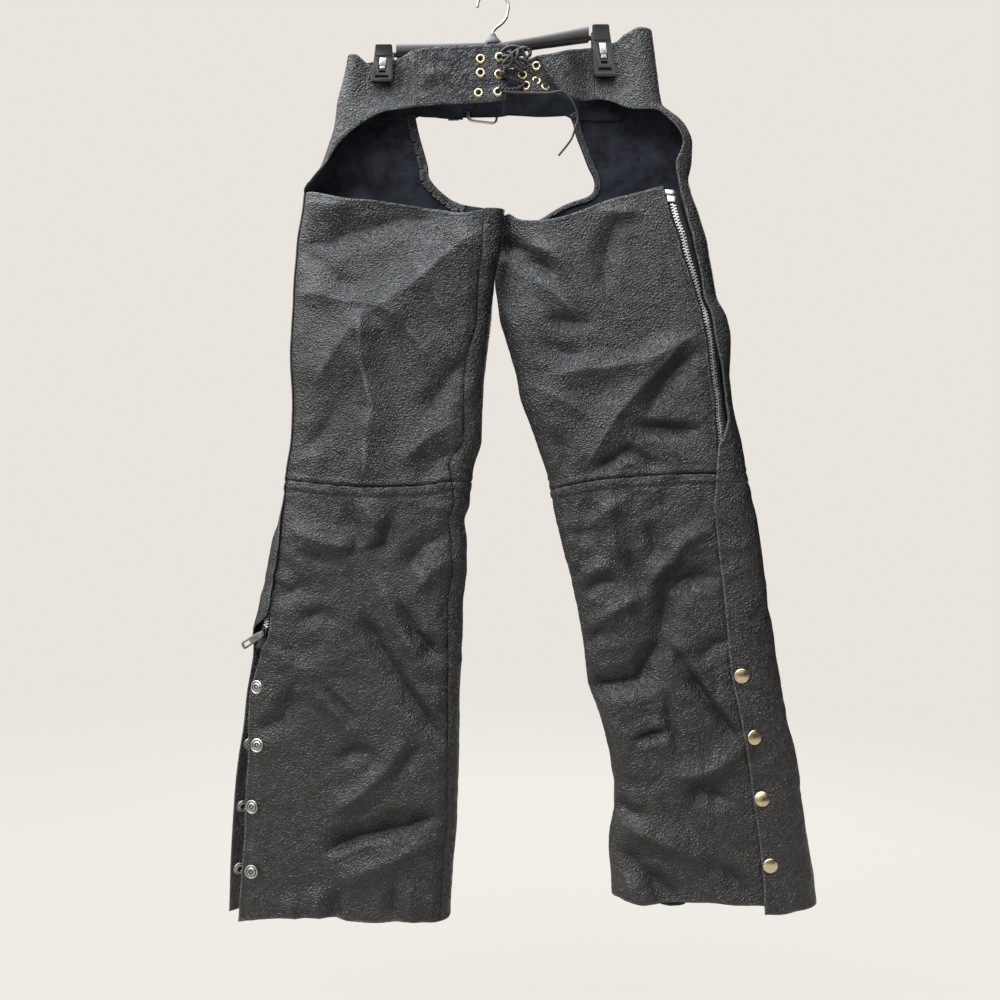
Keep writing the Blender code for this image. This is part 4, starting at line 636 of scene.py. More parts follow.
# creases: height, negative for a trough, half widths to the left and right, then the line's x and z
creases = {
    ("left", "near"): (
        (6.5, 44, 40, -8, -287, -60, -327, -121, -376, -152, -388),
        (3.5, 24, 20, -240, -361, -200, -368, -166, -376, -118, -379),
        (-6.0, 34, 30, -240, -306, -196, -304, -166, -292, -107, -277, -55, -275),
        (-3.5, 16, 20, -238, -306, -199, -331, -160, -372),
        (6.5, 46, 36, -148, -378, -176, -418, -216, -480),
        (5.5, 34, 24, -150, -380, -156, -400, -154, -448, -142, -498, -149, -535, -152, -592),
        (4.0, 30, 34, -138, -378, -112, -392, -76, -436, -60, -452),
        (-5.0, 26, 20, -24, -430, -50, -462, -88, -516),
        (3.0, 18, 22, -40, -512, -80, -536, -118, -574),
        (-4.0, 20, 26, -32, -540, -62, -560, -96, -588),
        (-3.0, 14, 18, -230, -560, -196, -520, -180, -486),
        (3.0, 20, 20, -238, -250, -200, -262, -150, -262),
        (3.5, 22, 26, -90, -330, -60, -380, -36, -400),
        # below the knee
        (-7.5, 14, 18, -158, -738, -122, -800, -90, -850, -52, -900),
        (-4.0, 9, 9, -212, -808, -182, -846, -150, -878),
        (-7.0, 12, 18, -112, -722, -92, -764, -52, -808),
        (5.0, 22, 20, -138, -690, -126, -724, -100, -772, -70, -820),
        (4.5, 26, 22, -232, -790, -196, -830, -176, -868, -150, -905),
        (-4.5, 18, 24, -290, -882, -247, -868, -228, -812),
        (-3.0, 10, 14, -190, -918, -163, -903, -132, -906),
        (-9.5, 9, 26, -58, -978, -96, -994, -155, -1006, -204, -1026),
        (4.5, 26, 20, -60, -1004, -110, -1026, -190, -1058),
        (-4.0, 18, 22, -78, -885, -100, -915, -122, -948),
        (4.0, 20, 18, -96, -880, -118, -918, -150, -950, -196, -978),
        (4.5, 16, 18, -203, -1052, -205, -1080, -200, -1110),
        (-4.0, 14, 16, -183, -1062, -184, -1110),
        (4.0, 16, 18, -99, -1050, -94, -1110),
        (-4.0, 14, 14, -118, -1060, -114, -1110),
        (3.0, 14, 16, -240, -1066, -226, -1110),
        (5.0, 22, 24, -154, -600, -140, -636, -132, -668),
        (-5.0, 18, 20, -176, -604, -160, -650, -166, -690),
        (-5.5, 16, 18, -112, -612, -128, -660, -168, -668),
        (5.0, 22, 20, -250, -640, -196, -660, -150, -664, -118, -650),
        (-4.5, 18, 18, -40, -640, -84, -664, -112, -700),
        (4.5, 22, 20, -38, -668, -70, -690, -100, -728),
        (-3.5, 16, 16, -262, -724, -226, -712, -196, -724),
        (-4.0, 12, 18, -232, -752, -200, -740, -176, -756),
    ),
    ("right", "near"): (
        (-5.5, 14, 18, -16, -300, 22, -306, 44, -314, 60, -318),
        (-5.5, 14, 20, 20, -316, 52, -328, 80, -346),
        (4.0, 16, 20, 30, -300, 70, -318, 96, -350),
        (-5.0, 18, 22, 146, -270, 140, -290, 132, -330, 130, -372),
        (4.0, 14, 14, 120, -268, 152, -272, 176, -268),
        (4.5, 24, 22, 242, -408, 214, -428, 176, -446, 60, -462),
        (5.0, 24, 30, 224, -418, 186, -462, 146, -506, 104, -574),
        (-6.0, 20, 26, 246, -420, 206, -468, 176, -512),
        (-7.5, 10, 20, 160, -520, 200, -523, 252, -527),
        (-4.5, 10, 14, 110, -576, 140, -562, 176, -538),
        (-4.5, 10, 12, 146, -546, 172, -556, 204, -578),
        (-4.0, 12, 14, 56, -392, 84, -398, 128, -402),
        (-3.5, 14, 14, 46, -416, 80, -434, 116, -440),
        (4.0, 22, 20, 40, -340, 80, -372, 104, -398),
        (3.5, 20, 20, 52, -474, 96, -498, 128, -520),
        (-3.5, 16, 16, 64, -520, 84, -548, 80, -590),
        # below the knee
        (-9.0, 22, 24, 268, -694, 226, -702, 206, -720, 203, -748, 196, -778, 173, -820, 128, -829, 96, -822),
        (5.5, 26, 22, 200, -764, 236, -812, 274, -858, 304, -916),
        (-8.0, 9, 13, 203, -770, 232, -812, 262, -856, 296, -900),
        (-3.5, 8, 8, 200, -826, 210, -870, 224, -914),
        (-4.0, 14, 16, 88, -712, 104, -690, 122, -668),
        (-4.5, 12, 14, 98, -724, 124, -706, 156, -702),
        (4.5, 16, 18, 96, -706, 120, -688, 150, -684),
        (-4.5, 14, 14, 104, -790, 120, -768, 142, -750),
        (5.0, 18, 18, 112, -770, 132, -744, 168, -724, 190, -718),
        (-6.5, 8, 12, 160, -893, 186, -885, 212, -878),
        (3.0, 12, 14, 190, -850, 200, -890, 216, -936),
        (-7.0, 22, 18, 222, -962, 250, -954, 290, -962),
        (5.0, 20, 20, 196, -936, 250, -928, 300, -900),
        (7.0, 28, 20, 146, -988, 200, -1008, 262, -1036),
        (-6.5, 20, 18, 142, -1014, 184, -1050, 232, -1090),
        (-5.0, 18, 20, 256, -1028, 290, -1058, 320, -1090),
        (5.0, 18, 20, 150, -1042, 176, -1080, 190, -1100),
        (4.5, 18, 20, 120, -600, 138, -640, 150, -690),
        (-5.5, 18, 18, 134, -596, 108, -640, 96, -668),
        (5.0, 20, 18, 96, -650, 130, -622, 168, -600),
        (-4.5, 14, 14, 176, -628, 196, -664, 214, -690),
        (5.0, 20, 18, 262, -640, 226, -656, 196, -690, 176, -724),
        (-4.5, 14, 14, 156, -660, 172, -700, 180, -730),
        (-4.0, 12, 14, 288, -770, 260, -780, 236, -800),
        (-4.0, 12, 14, 118, -850, 134, -880, 150, -930),
        (4.0, 14, 14, 128, -850, 146, -886, 160, -940),
        (-4.0, 14, 16, 136, -960, 160, -976, 190, -980),
    ),
    ("left", "far"): (
        (6.0, 40, 34, -40, -300, -96, -350, -150, -404),
        (-5.0, 26, 26, -226, -400, -170, -440, -112, -512),
        (4.5, 30, 26, -70, -430, -120, -470, -206, -500),
        (-5.0, 20, 24, -52, -600, -120, -620, -200, -668),
        (5.0, 26, 22, -236, -600, -170, -630, -70, -646),
        (6.0, 34, 26, -244, -700, -180, -760, -104, -824),
        (-5.0, 22, 22, -100, -700, -150, -750, -230, -790),
        (-5.0, 22, 26, -80, -890, -160, -930, -250, -984),
        (4.5, 24, 20, -70, -960, -140, -1000, -200, -1060),
        (4.5, 18, 18, -180, -1040, -178, -1110),
        (-4.0, 16, 18, -120, -1050, -116, -1110),
        (-4.0, 20, 22, -70, -280, -60, -340, -50, -380),
        (3.5, 20, 20, -188, -200, -140, -240, -100, -290),
    ),
    ("right", "far"): (
        (6.0, 38, 34, 50, -310, 110, -360, 190, -424),
        (-5.0, 26, 26, 250, -430, 190, -470, 110, -548),
        (4.5, 28, 26, 80, -470, 150, -500, 240, -520),
        (-5.5, 22, 20, 100, -636, 170, -660, 270, -708),
        (5.5, 26, 22, 110, -600, 190, -620, 280, -640),
        (6.0, 30, 26, 300, -752, 230, -820, 160, -884),
        (-5.0, 22, 22, 130, -760, 190, -800, 300, -850),
        (-5.0, 22, 24, 170, -950, 240, -990, 330, -1036),
        (4.5, 22, 22, 170, -1000, 230, -1040, 300, -1070),
        (5.0, 18, 18, 206, -1050, 200, -1120),
        (-4.5, 14, 16, 240, -1050, 246, -1110),
        (-4.0, 20, 20, 100, -290, 80, -340, 60, -400),
        (3.5, 20, 20, 210, -200, 170, -250, 130, -300),
    ),
}


def stretches(line, x, z):  # of each: how far off a point is, its share of the way, its side, the length
    for (x0, z0), (x1, z1) in zip(line[:-1], line[1:]):
        dx, dz = x1 - x0, z1 - z0
        share = np.clip(((x - x0) * dx + (z - z0) * dz) / (dx * dx + dz * dz), 0, 1)
        apart = np.hypot(x - x0 - share * dx, z - z0 - share * dz)
        yield apart, share, dx * (z - z0) - dz * (x - x0), math.hypot(dx, dz)


def creaseHeights(rows, x, z):
    total = np.zeros(x.shape)
    for seed, row in enumerate(rows):
        height, leftWide, rightWide = row[:3]
        line = np.array(row[3:], float).reshape(-1, 2)
        reach = max(leftWide, rightWide) + 2
        near = np.flatnonzero(
            (x > line[:, 0].min() - reach) & (x < line[:, 0].max() + reach)
            & (z > line[:, 1].min() - reach) & (z < line[:, 1].max() + reach)
        )
        if not len(near):
            continue
        px, pz = x[near], z[near]
        away, along, side = np.full(len(near), 1e9), np.zeros(len(near)), np.zeros(len(near))
        done = 0.0
        for apart, share, leftward, length in stretches(line, px, pz):
            closer = apart < away
            away = np.where(closer, apart, away)
            along = np.where(closer, done + share * length, along)
            side = np.where(closer, leftward, side)
            done += length
        varied = 1 + 0.25 * softNoise(along / 38, along * 0 + seed, 7)
        width = np.where(side > 0, leftWide, rightWide) * varied
        tip = 0.9
        shape = np.clip(1 - (np.sqrt(away**2 + tip**2) - tip) / width, 0, 1) ** 1.4
        ends = min(34.0, done * 0.4)
        fade = smoothStep(0, ends, along) * smoothStep(0, ends, done - along)
        uneven = 1 + 0.3 * softNoise(along / 26, along * 0 + 3 * seed, 11)
        total[near] += height * shape * fade * uneven
    return total


strength = {  # how crumpled each leg is at each height
    "left": (
        (-50, 0.5), (-260, 0.45), (-540, 0.6), (-610, 1.35), (-720, 1.2), (-850, 1.0), (-1000, 0.9),
        (-1120, 0.9)
    ),
    "right": (
        (-50, 0.5), (-260, 0.55), (-460, 0.8), (-580, 1.35), (-700, 1.55), (-850, 1.35), (-1000, 1.15),
        (-1120, 1.1)
    ),
}


def wrinkles(leg, around, z):
    u, v = around + leg["shift"], z
    u = u + 9 * softNoise(around / 46, z / 46, 21)
    v = v + 9 * softNoise(around / 46, z / 46, 22)
    broad = 2.4 * softNoise(u / 90, v / 120, 1)
    mid = 1.1 * ridged(u / 52, v / 40, 2) + 0.8 * ridged(u / 26, v / 30, 3)
    fine = -0.34 * ridged((u + 0.7 * v) / 18, (v - 0.7 * u) / 10, 4) - 0.15 * ridged(u / 7.5, v / 7, 5)
    amount = readSmooth(strength[leg["name"]], z)[..., 0]
    patchy = 0.65 + 0.5 * softNoise(u / 70, v / 70, 6)
    return broad * 0.7 + (mid + fine) * amount * np.clip(patchy, 0.15, 1.3)


def fromSeams(leg, around, z, x, far, half):  # how far away the inseam and the knee seam are
    gap = np.where(far, 40.0, around - (readSmooth(leg["inseam"], z)[..., 0] - half))
    gap = np.where(around > half, 2 * half - around, gap)
    apart = np.abs(np.where(around > 0, around - (readSmooth(leg["inseam"], z)[..., 0] + half), gap))
    kneeRows = np.array(leg["knee"], float)
    kneeRows = kneeRows[np.argsort(kneeRows[:, 0])]
    return apart, z - np.where(far, knee["far"], np.interp(x, kneeRows[:, 0], kneeRows[:, 1]))


def seamShape(leg, around, z, x, far, half):
    apart, drop = fromSeams(leg, around, z, x, far, half)
    pucker = 0.55 * softNoise(z / 8, around / 60, 31) * np.exp(-apart / 10)
    seam = -0.9 * hump(apart, 2.2) + 0.5 * hump(apart - 11, 4) + pucker
    band = smoothStep(-11.5, -9.5, drop) * (1 - smoothStep(-1.5, 0, drop)) * 0.8
    roll = 0.9 * hump(drop - 4, 3.5) - 1.1 * hump(drop, 1.6) - 0.7 * hump(drop + 12, 2.2)
    gather = 0.7 * softNoise(around / 7.5, z / 50, 33) * np.exp(-np.abs(drop + 4) / 13)
    return np.where(z < -300, seam, 0) + band + roll + gather


def legRelief(leg, around, z, x, far, way, half):
    side = smoothStep(0, 26, way) * smoothStep(0, 22, half - way)
    rows = np.where(far, *(creaseHeights(creases[leg["name"], part], x, z) for part in ("far", "near")))
    fine = wrinkles(leg, around, z) * (0.5 + 0.5 * side) + seamShape(leg, around, z, x, far, half)
    return 1.3 * rows * side + fine * smoothStep(-92, -150, z)  # the leather lies flat at the waist


def placeLeg(leg, raised):  # raised: the front panel stands off the back one where it covers it
    def place(around, z, out=0.0):
        around, z = np.asarray(around, float), np.asarray(z, float)
        middle, far, way, half = legMiddle(leg, around, z)
        across = legMiddle(leg, around + 0.5, z)[0] - legMiddle(leg, around - 0.5, z)[0]
        up = legMiddle(leg, around, z + 0.5)[0] - legMiddle(leg, around, z - 0.5)[0]
        normal = leg["sign"] * np.cross(across, up)
        normal /= np.linalg.norm(normal, axis=-1, keepdims=True)
        lift = out + legRelief(leg, around, z, middle[..., 0], far, way, half)
        if raised:
            reach = leg["liftReach"]
            lift = lift + flapLift(leg, z) * (1 - smoothStep(reach, reach + flap["fade"], around))
        return middle + normal * lift[..., None]

    return place


def crests(rows, x, z, sign, wide):  # 1 along the sharp tops of the ridges, or with sign -1 along the troughs
    total = np.zeros(x.shape)
    for seed, row in enumerate(rows):
        if sign * row[0] < 2.9:
            continue
        line = np.array(row[3:], float).reshape(-1, 2)
        away = np.min([apart for apart, _, _, _ in stretches(line, x, z)], axis=0)
        broken = np.clip(0.55 + 0.9 * softNoise(x / 30, z / 30, 50 + seed), 0, 1)
        total = np.maximum(total, hump(away, wide) * broken * min(1.0, sign * row[0] / 6))
    return total


def legHighlightAndShade(leg, u, v):  # painted highlights along the ridge tops, painted shade along the troughs, darker along the inseam, and how free of a seam each point is
    middle, far, _, half = legMiddle(leg, u, v)
    x = middle[..., 0]
    apart, drop = fromSeams(leg, u, v, x, far, half)
    parts = [creases[leg["name"], side] for side in ("far", "near")]
    along = lambda sign, wide: np.where(far, *(crests(rows, x, v, sign, wide) for rows in parts))
    # painted shade along the crease troughs, and a darker line along the inseam
    creaseShadeAndSeamLine = np.maximum(0.95 * along(-1, 3.0), 0.7 * hump(apart, 1.6))
    free = smoothStep(2, 6, apart) * smoothStep(2, 6, np.abs(drop))
    # painted highlight along the ridge tops, on the thighs only
    return 0.6 * along(1, 1.7) * smoothStep(-640, -540, v), creaseShadeAndSeamLine, free


# outlines, as distances along the leather and heights
def smoothRow(points, step):
    return [tuple(point) for point in smoothRoute(points, step, 20)]


def straightRow(start, end, step=3.0):
    count = max(int(math.dist(start, end) / step), 1)
    return [tuple(a + (b - a) * i / count for a, b in zip(start, end)) for i in range(count + 1)]


def nearRow(leg, points, step=3.0):
    return [(nearAround(leg, x, z), z) for x, z in smoothRow(points, step)]


def farRow(leg, points, step=3.0):
    return [(-around, z) for around, z in nearRow(leg, points, step)]


def heightRow(reader, top, bottom, step=4.0):
    heights = np.linspace(top, bottom, max(int((top - bottom) / step), 1) + 1)
    return [(float(around), float(z)) for around, z in zip(reader(heights), heights)]


for leg in legs.values():
    for edge in ("zipEdge", "flapEdge"):
        if edge + "X" in leg:
            leg[edge] = tuple((z, nearAround(leg, x, z)) for z, x in leg[edge + "X"])


def edgeAt(leg, edge):
    return lambda z: readSmooth(leg[edge], z)[..., 0]


def inseamAt(leg, turns=0):
    return lambda z: readSmooth(leg["inseam"], z)[..., 0] - halfLength(leg, z) + turns * halfLength(leg, z)


def wholeOf(work):
    return work.verts[:] + work.edges[:] + work.faces[:]


def growFaces(work):  # all faces drawn out once, with the new points given back
    grown = bmesh.ops.extrude_face_region(work, geom=work.faces[:])["geom"]
    return [part for part in grown if isinstance(part, bmesh.types.BMVert)]


def backOutline(leg, top, bottom):
    gap = knee["gap"]
    top, bottom = sorted(nearRow(leg, top)), sorted(nearRow(leg, bottom))
    inner = heightRow(lambda z: inseamAt(leg)(z) + gap, top[0][1], bottom[0][1])
    outer = heightRow(edgeAt(leg, "zipEdge"), top[-1][1], bottom[-1][1])
    keep = lambda rows, start, end: [p for p in rows if start[0] + 1.5 < p[0] < end[0] - 1.5]
    return inner + keep(bottom, inner[-1], outer[-1]) + outer[::-1] + keep(top, inner[0], outer[0])[::-1]


def frontThighOutline(leg):
    low = knee["far"] + knee["gap"]
    free = heightRow(edgeAt(leg, "flapEdge"), knee["hipTop"], low)
    sewn = heightRow(lambda z: inseamAt(leg, 2)(z) - knee["gap"], leg["crotch"], low)
    bottom = straightRow(free[-1], sewn[-1])[1:-1]
    hip = nearRow(leg, leg["hipEdge"])
    hip = hip + straightRow(hip[-1], free[0])[1:-1]
    beltNear = nearRow(leg, (leg["waistNear"][0], leg["hipEdge"][0]))[1:-1]
    top = leg["waistNear"][-1][1] + 1
    nearTop, farTop = nearRow(leg, leg["waistNear"]), farRow(leg, leg["waistFar"])
    waistRow = nearTop + straightRow(nearTop[-1], (0.0, top))[1:]
    waistRow += straightRow((0.0, top), farTop[0])[1:] + farTop[1:]
    endX = leg["waistFar"][-1][0]
    beltSide = farRow(leg, (leg["waistFar"][-1], (endX, -140)))[1:]
    seat = farRow(leg, ((endX, -140), leg["seatEdge"][0]))[1:] + farRow(leg, leg["seatEdge"])[1:]
    fold = (float(halfLength(leg, leg["crotch"])), leg["crotch"] + 3)
    crotch = straightRow(seat[-1], fold)[1:] + straightRow(fold, sewn[0])[1:-1]
    inner = sewn[::-1] + crotch[::-1] + seat[::-1] + beltSide[::-1]
    return inner + waistRow[::-1][1:] + beltNear + hip + free + bottom


def frontShinOutline(leg):
    high = knee["far"] - knee["gap"]
    hem = sorted(farRow(leg, leg["hemFar"]))
    free = heightRow(edgeAt(leg, "flapEdge"), high, leg["hemFarEnds"][0])
    sewn = heightRow(lambda z: inseamAt(leg, 2)(z) - knee["gap"], high, leg["hemFarEnds"][1])
    if leg["flapHem"]:
        hem = nearRow(leg, leg["flapHem"])[::-1] + hem
    hem = sorted(hem)
    middle = [p for p in hem if free[-1][0] + 1.5 < p[0] < sewn[-1][0] - 1.5]
    return free + middle + sewn[::-1] + straightRow(sewn[0], free[0])[1:-1]


def cutCloth(outline, step):  # one face with the outline's points, cut into rows and then columns
    work = bmesh.new()
    work.faces.new([work.verts.new((u, v, 0)) for u, v in outline])
    for axis in (1, 0):
        values = [point[axis] for point in outline]
        normal = Vector((axis == 0, axis == 1, 0))
        for at in np.arange(math.ceil(min(values) / step) * step, max(values), step):
            bmesh.ops.bisect_plane(work, geom=wholeOf(work), dist=0.35, plane_co=normal * at, plane_no=normal)
    return work


def finishPiece(name, work, slots, body="chaps", replaces=(), smooth=True):
    mesh = bpy.data.meshes.new(name)
    work.to_mesh(mesh)
    work.free()
    for finish in slots:
        mesh.materials.append(finishes[finish])
    if smooth:
        mesh.shade_smooth()
    piece = addObject(name, mesh)
    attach(piece, body)
    if replaces:
        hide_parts(*replaces)
    return piece


def turnsLeft(outline):
    return sum(a[0] * b[1] - b[0] * a[1] for a, b in zip(outline, outline[1:] + outline[:1])) > 0


def wearHighlightShadeLayer(work, flat, highlightAndShade):  # worn where the leather ends, but for its seams; painted highlights along the sharp ridge tops and painted shade in the troughs
    ends = [index for index, vert in enumerate(work.verts) if vert.is_boundary]
    tree = kdtree.KDTree(len(ends))
    for index in ends:
        tree.insert((*flat[index], 0), index)
    tree.balance()
    away = np.array([tree.find((*spot, 0))[2] for spot in flat])
    nothing = np.zeros(len(flat))
    ridgeHighlight, creaseShadeAndSeamLine, free = highlightAndShade(flat[:, 0], flat[:, 1]) if highlightAndShade else (nothing, nothing, nothing + 1)
    broken = np.clip(0.8 + 0.5 * softNoise(flat[:, 0] / 14, flat[:, 1] / 14, 61), 0.2, 1)
    wornAndHighlit = np.maximum(ridgeHighlight, 0.5 * hump(away, 1.3) * broken * free)
    # one layer for worn edges with painted ridge highlights, one for painted crease shade with the inseam
    # line
    for name, values in (("worn", wornAndHighlit), ("creaseShadeAndSeamLine", creaseShadeAndSeamLine)):
        layer = work.verts.layers.float.new(name)
        for vert, value in zip(work.verts, values):
            vert[layer] = float(value)


def makeCloth(
    name, outline, place, step, node, thick=hide, turned=False, holes=(),
    slots=("leather", "suede", "cutEdge"),
    highlightAndShade=None, hangs=(), lined=None,
):
    work = cutCloth(outline if turnsLeft(outline) else outline[::-1], step)
    if holes:
        nearest = lambda face: min(math.dist(face.calc_center_median().xy, hole) for hole in holes)
        inHole = [face for face in work.faces if nearest(face) < holeReach]
        bmesh.ops.delete(work, geom=inHole, context="FACES")
    layer = work.loops.layers.uv.new("UVMap")
    for face in work.faces:
        for loop in face.loops:
            loop[layer].uv = loop.vert.co.xy * mm
    area = sum(face.calc_area() for face in work.faces) * mm * mm
    flat = np.array([vert.co.xy for vert in work.verts])
    if lined:  # the third and later finishes, with leather on both sides
        for face in work.faces:
            if lined(*face.calc_center_median().xy):
                face.material_index = 3
    # worn edges, painted ridge highlights and painted crease shade, kept as vertex layers
    wearHighlightShadeLayer(work, flat, highlightAndShade)
    for vert, spot in zip(work.verts, place(flat[:, 0], flat[:, 1])):
        vert.co = Vector(spot) * mm
    laid = sum(face.calc_area() for face in work.faces)
    if turned:
        bmesh.ops.reverse_faces(work, faces=work.faces[:])
    piece = finishPiece(name, work, slots, replaces=(node,))
    wall = piece.modifiers.new("wall", "SOLIDIFY")
    wall.thickness = thick * mm
    wall.offset = 0
    wall.material_offset = 1
    wall.material_offset_rim = 2


panelCut = {"near": 2.3, "front": 3.0, "hem": 30, "hemFrom": -236}
linedSlots = ("leather", "suede", "cutEdge", "leather", "leather", "cutEdge")
frontPlace = {name: placeLeg(leg, True) for name, leg in legs.items()}
backPlace = {name: placeLeg(leg, False) for name, leg in legs.items()}


def turnedHem(leg):  # inside the flap the leather's own hem shows
    edge = lambda v: float(readSmooth(leg["flapEdge"], v)[0])
    return lambda u, v: v < panelCut["hemFrom"] and u < edge(v) + panelCut["hem"]


for name, leg in legs.items():
    gap = knee["gap"]
    above = [(x, z + gap) for x, z in leg["knee"]]
    below = [(x, z - gap) for x, z in leg["knee"]]
    back, front = backPlace[name], frontPlace[name]
    cuts = (
        (
            "BackThigh", "_back_thigh", backOutline(leg, leg["thighTop"], above), back, "near",
            ("_front_thigh",)
        ),
        (
            "BackShin", "_back_shin", backOutline(leg, below, leg["hem"]), back, "near",
            ("_back_thigh", "_front_shin")
        ),
        ("FrontThigh", "_front_thigh", frontThighOutline(leg), front, "front", ("_front_belt", "_back_belt")),
        ("FrontShin", "_front_shin", frontShinOutline(leg), front, "front", ("_front_thigh",)),
    )
    for part, node, outline, place, side, hangs in cuts:
        makeCloth(
            name + part, outline, place, panelCut[side], name + node, turned=leg["sign"] < 0,
            slots=linedSlots, lined=turnedHem(leg) if side == "front" else None,
            # the legs' painted ridge highlights and painted crease shade
            highlightAndShade=lambda u, v, leg=leg: legHighlightAndShade(leg, u, v), hangs=[name + end for end in hangs],
        )
print("leg panels made")

belts = {
    "leftBack": (
        (-95.5, -75.5), (-60, -72), (-20, -70.5), (18.5, -69), (19, -98), (15.5, -134), (0, -137),
        (-20, -138.5),
        (-45, -139.3), (-62, -140.3), (-95.5, -143),
    ),
    "rightBack": (
        (121.5, -66.5), (110, -68.5), (95, -73.5), (79, -78.5), (57, -84.5), (45, -85.5), (38, -88.5),
        (31, -94),
        (27, -108), (32.5, -127.5), (55, -127.5), (75, -127), (84, -131), (94, -135.5), (108, -134.5),
        (121.5, -130.8),
    ),
    "leftFront": (
        (-153, -84), (-110, -80), (-70, -78), (-37, -80), (-37, -112), (-24, -113), (-24, -131), (-37, -132),
        (-37, -141.5),
        (-70, -140), (-90, -141), (-99, -147), (-120, -148), (-153, -147),
    ),
    "rightFront": (
        (155, -62), (130, -71), (90, -77), (50, -80), (12, -80), (12, -136), (50, -138), (88, -139.6),
        (97, -146), (122, -149),
        (155, -148),
    ),
    "strap": (
        (44, -109), (5, -110), (-40, -112), (-84, -113), (-94, -122), (-84, -134), (-40, -136), (5, -135),
        (44, -134)
    ),
    "holeLevel": -122.8, "holesAt": (-72, -57, 19, 34),  # the prong fills the fifth
    "strapLift": 7.0, "strapLow": 2.2, "rise": {"right": (28, 6), "left": (-50, -80)}, "depth": 14.0,
    "lap": -1.8, "lapFrom": (84, 97),
    # the turned end of the right belt: where it curls under, and where the tip folds back
    "curl": (48, -80, 55, -87, 64, -103, 76, -120, 90, -132),
    "tipFold": (30, -90, 46, -109, 64, -120, 78, -128),
}

beltCreases = {
    "near": (
        (-2.2, 10, 7, -78, -84, -64, -101, -56, -119, -43, -140),
        (1.8, 13, 10, -94, -112, -70, -105, -42, -98),
        (-1.5, 8, 6, -94, -128, -72, -121, -58, -113),
        (-2.0, 8, 8, -16, -113, 0, -119, 8, -121),
        (1.6, 12, 10, -40, -98, -26, -112, -20, -126),
        (1.4, 10, 8, -60, -80, -46, -92, -40, -100),
        (-1.5, 7, 9, -88, -82, -82, -100, -86, -118),
        (1.3, 12, 10, 70, -84, 92, -100, 114, -124),
        (-1.2, 9, 9, 86, -80, 104, -96, 120, -108),
    ),
    "far": (
        (1.5, 10, 10, -130, -90, -110, -110, -100, -136),
        (-1.5, 9, 9, 60, -84, 70, -110, 62, -136),
        (1.4, 10, 10, 120, -76, 104, -100, 112, -134),
    ),
}


def lineDistance(line, x, z):  # signed, positive to the left of the line as it runs
    line = np.array(line, float).reshape(-1, 2)
    away, side = np.full(np.shape(x), 1e9), np.ones(np.shape(x))
    for apart, _, leftward, _ in stretches(line, x, z):
        side = np.where(apart < away, np.sign(leftward), side)
        away = np.minimum(away, apart)
    return away * side


def turnedEnd(x, z):  # right of the curl the belt rises to it, left of it the turned part lies lower
    curl = lineDistance(belts["curl"], x, z)
    fold = lineDistance(belts["tipFold"], x, z)
    rise = 4.6 * hump(np.maximum(curl, 0), 17) * hump(np.minimum(curl, 0), 3.2)
    tip = -1.6 * hump(fold, 4.0) + 2.6 * smoothStep(0, 6, -fold)
    inEnd = 1 - smoothStep(104, 122, x)
    return (rise + tip * (curl < 0) * smoothStep(0, 5, -curl)) * inEnd * smoothStep(26, 28, x)


def placeBelt(side):
    sign = -1 if side == "near" else 1

    def middleOf(x, z):
        y = belts["depth"] * pinch(x, z) + (0 if side == "near" else frontSag(x, z))
        if side == "near":
            y = y + turnedEnd(x, z)
        return np.stack((x, sign * y, z), axis=-1)

    def place(x, z, out=0.0):
        x, z = np.asarray(x, float), np.asarray(z, float)
        across = middleOf(x + 0.5, z) - middleOf(x - 0.5, z)
        up = middleOf(x, z + 0.5) - middleOf(x, z - 0.5)
        normal = np.cross(across, up) * -sign
        normal /= np.linalg.norm(normal, axis=-1, keepdims=True)
        relief = creaseHeights(beltCreases[side], x, z) + 0.45 * softNoise(x / 22, z / 18, 41)
        relief = relief - 0.2 * ridged(x / 11, z / 9, 42)
        return middleOf(x, z) + normal * (relief + out)[..., None]

    return place


def closedRow(points, step=2.5):
    rows = []
    for start, end in zip(points, points[1:] + points[:1]):
        rows += straightRow(start, end, step)[:-1]
    return rows


def strapOut(x):
    over = smoothStep(*belts["rise"]["right"], x) * (1 - smoothStep(*belts["rise"]["left"], x))
    return belts["strapLow"] + (belts["strapLift"] - belts["strapLow"]) * over


nearBelt, farBelt = placeBelt("near"), placeBelt("far")
eyelets = {
    "left": ((-14.6, -87), (-14.6, -103.3), (-17, -127), (7.8, -84.6), (7.2, -105), (6, -126)),
    "right": ((51.5, -95.5), (39, -120), (35, -107.3), (51.5, -112.3), (62, -120)),
}
strapHoles = [(x, belts["holeLevel"]) for x in belts["holesAt"]]


def lappedBelt(x, z):  # sewn to the inside of the front panels
    return farBelt(x, z, belts["lap"] * smoothStep(*belts["lapFrom"], np.abs(x)))


beltCuts = (
    ("left", "Back", nearBelt, 1.9, eyelets["left"]), ("right", "Back", nearBelt, 1.6, eyelets["right"][:2]),
    ("left", "Front", lappedBelt, 2.4, ()), ("right", "Front", lappedBelt, 2.4, ()),
)
for side, part, place, step, holes in beltCuts:
    makeCloth(
        side + part + "Belt", closedRow(belts[side + part]), place, step, f"{side}_{part.lower()}_belt",
        turned=part == "Front", holes=holes, hangs=[side + "_clip"],
    )
makeCloth(
    "frontStrap", closedRow(belts["strap"]), lambda x, z: farBelt(x, z, strapOut(x)), 1.8, "front_strap",
    turned=True, holes=strapHoles, hangs=["left_front_belt", "right_front_belt"],
)

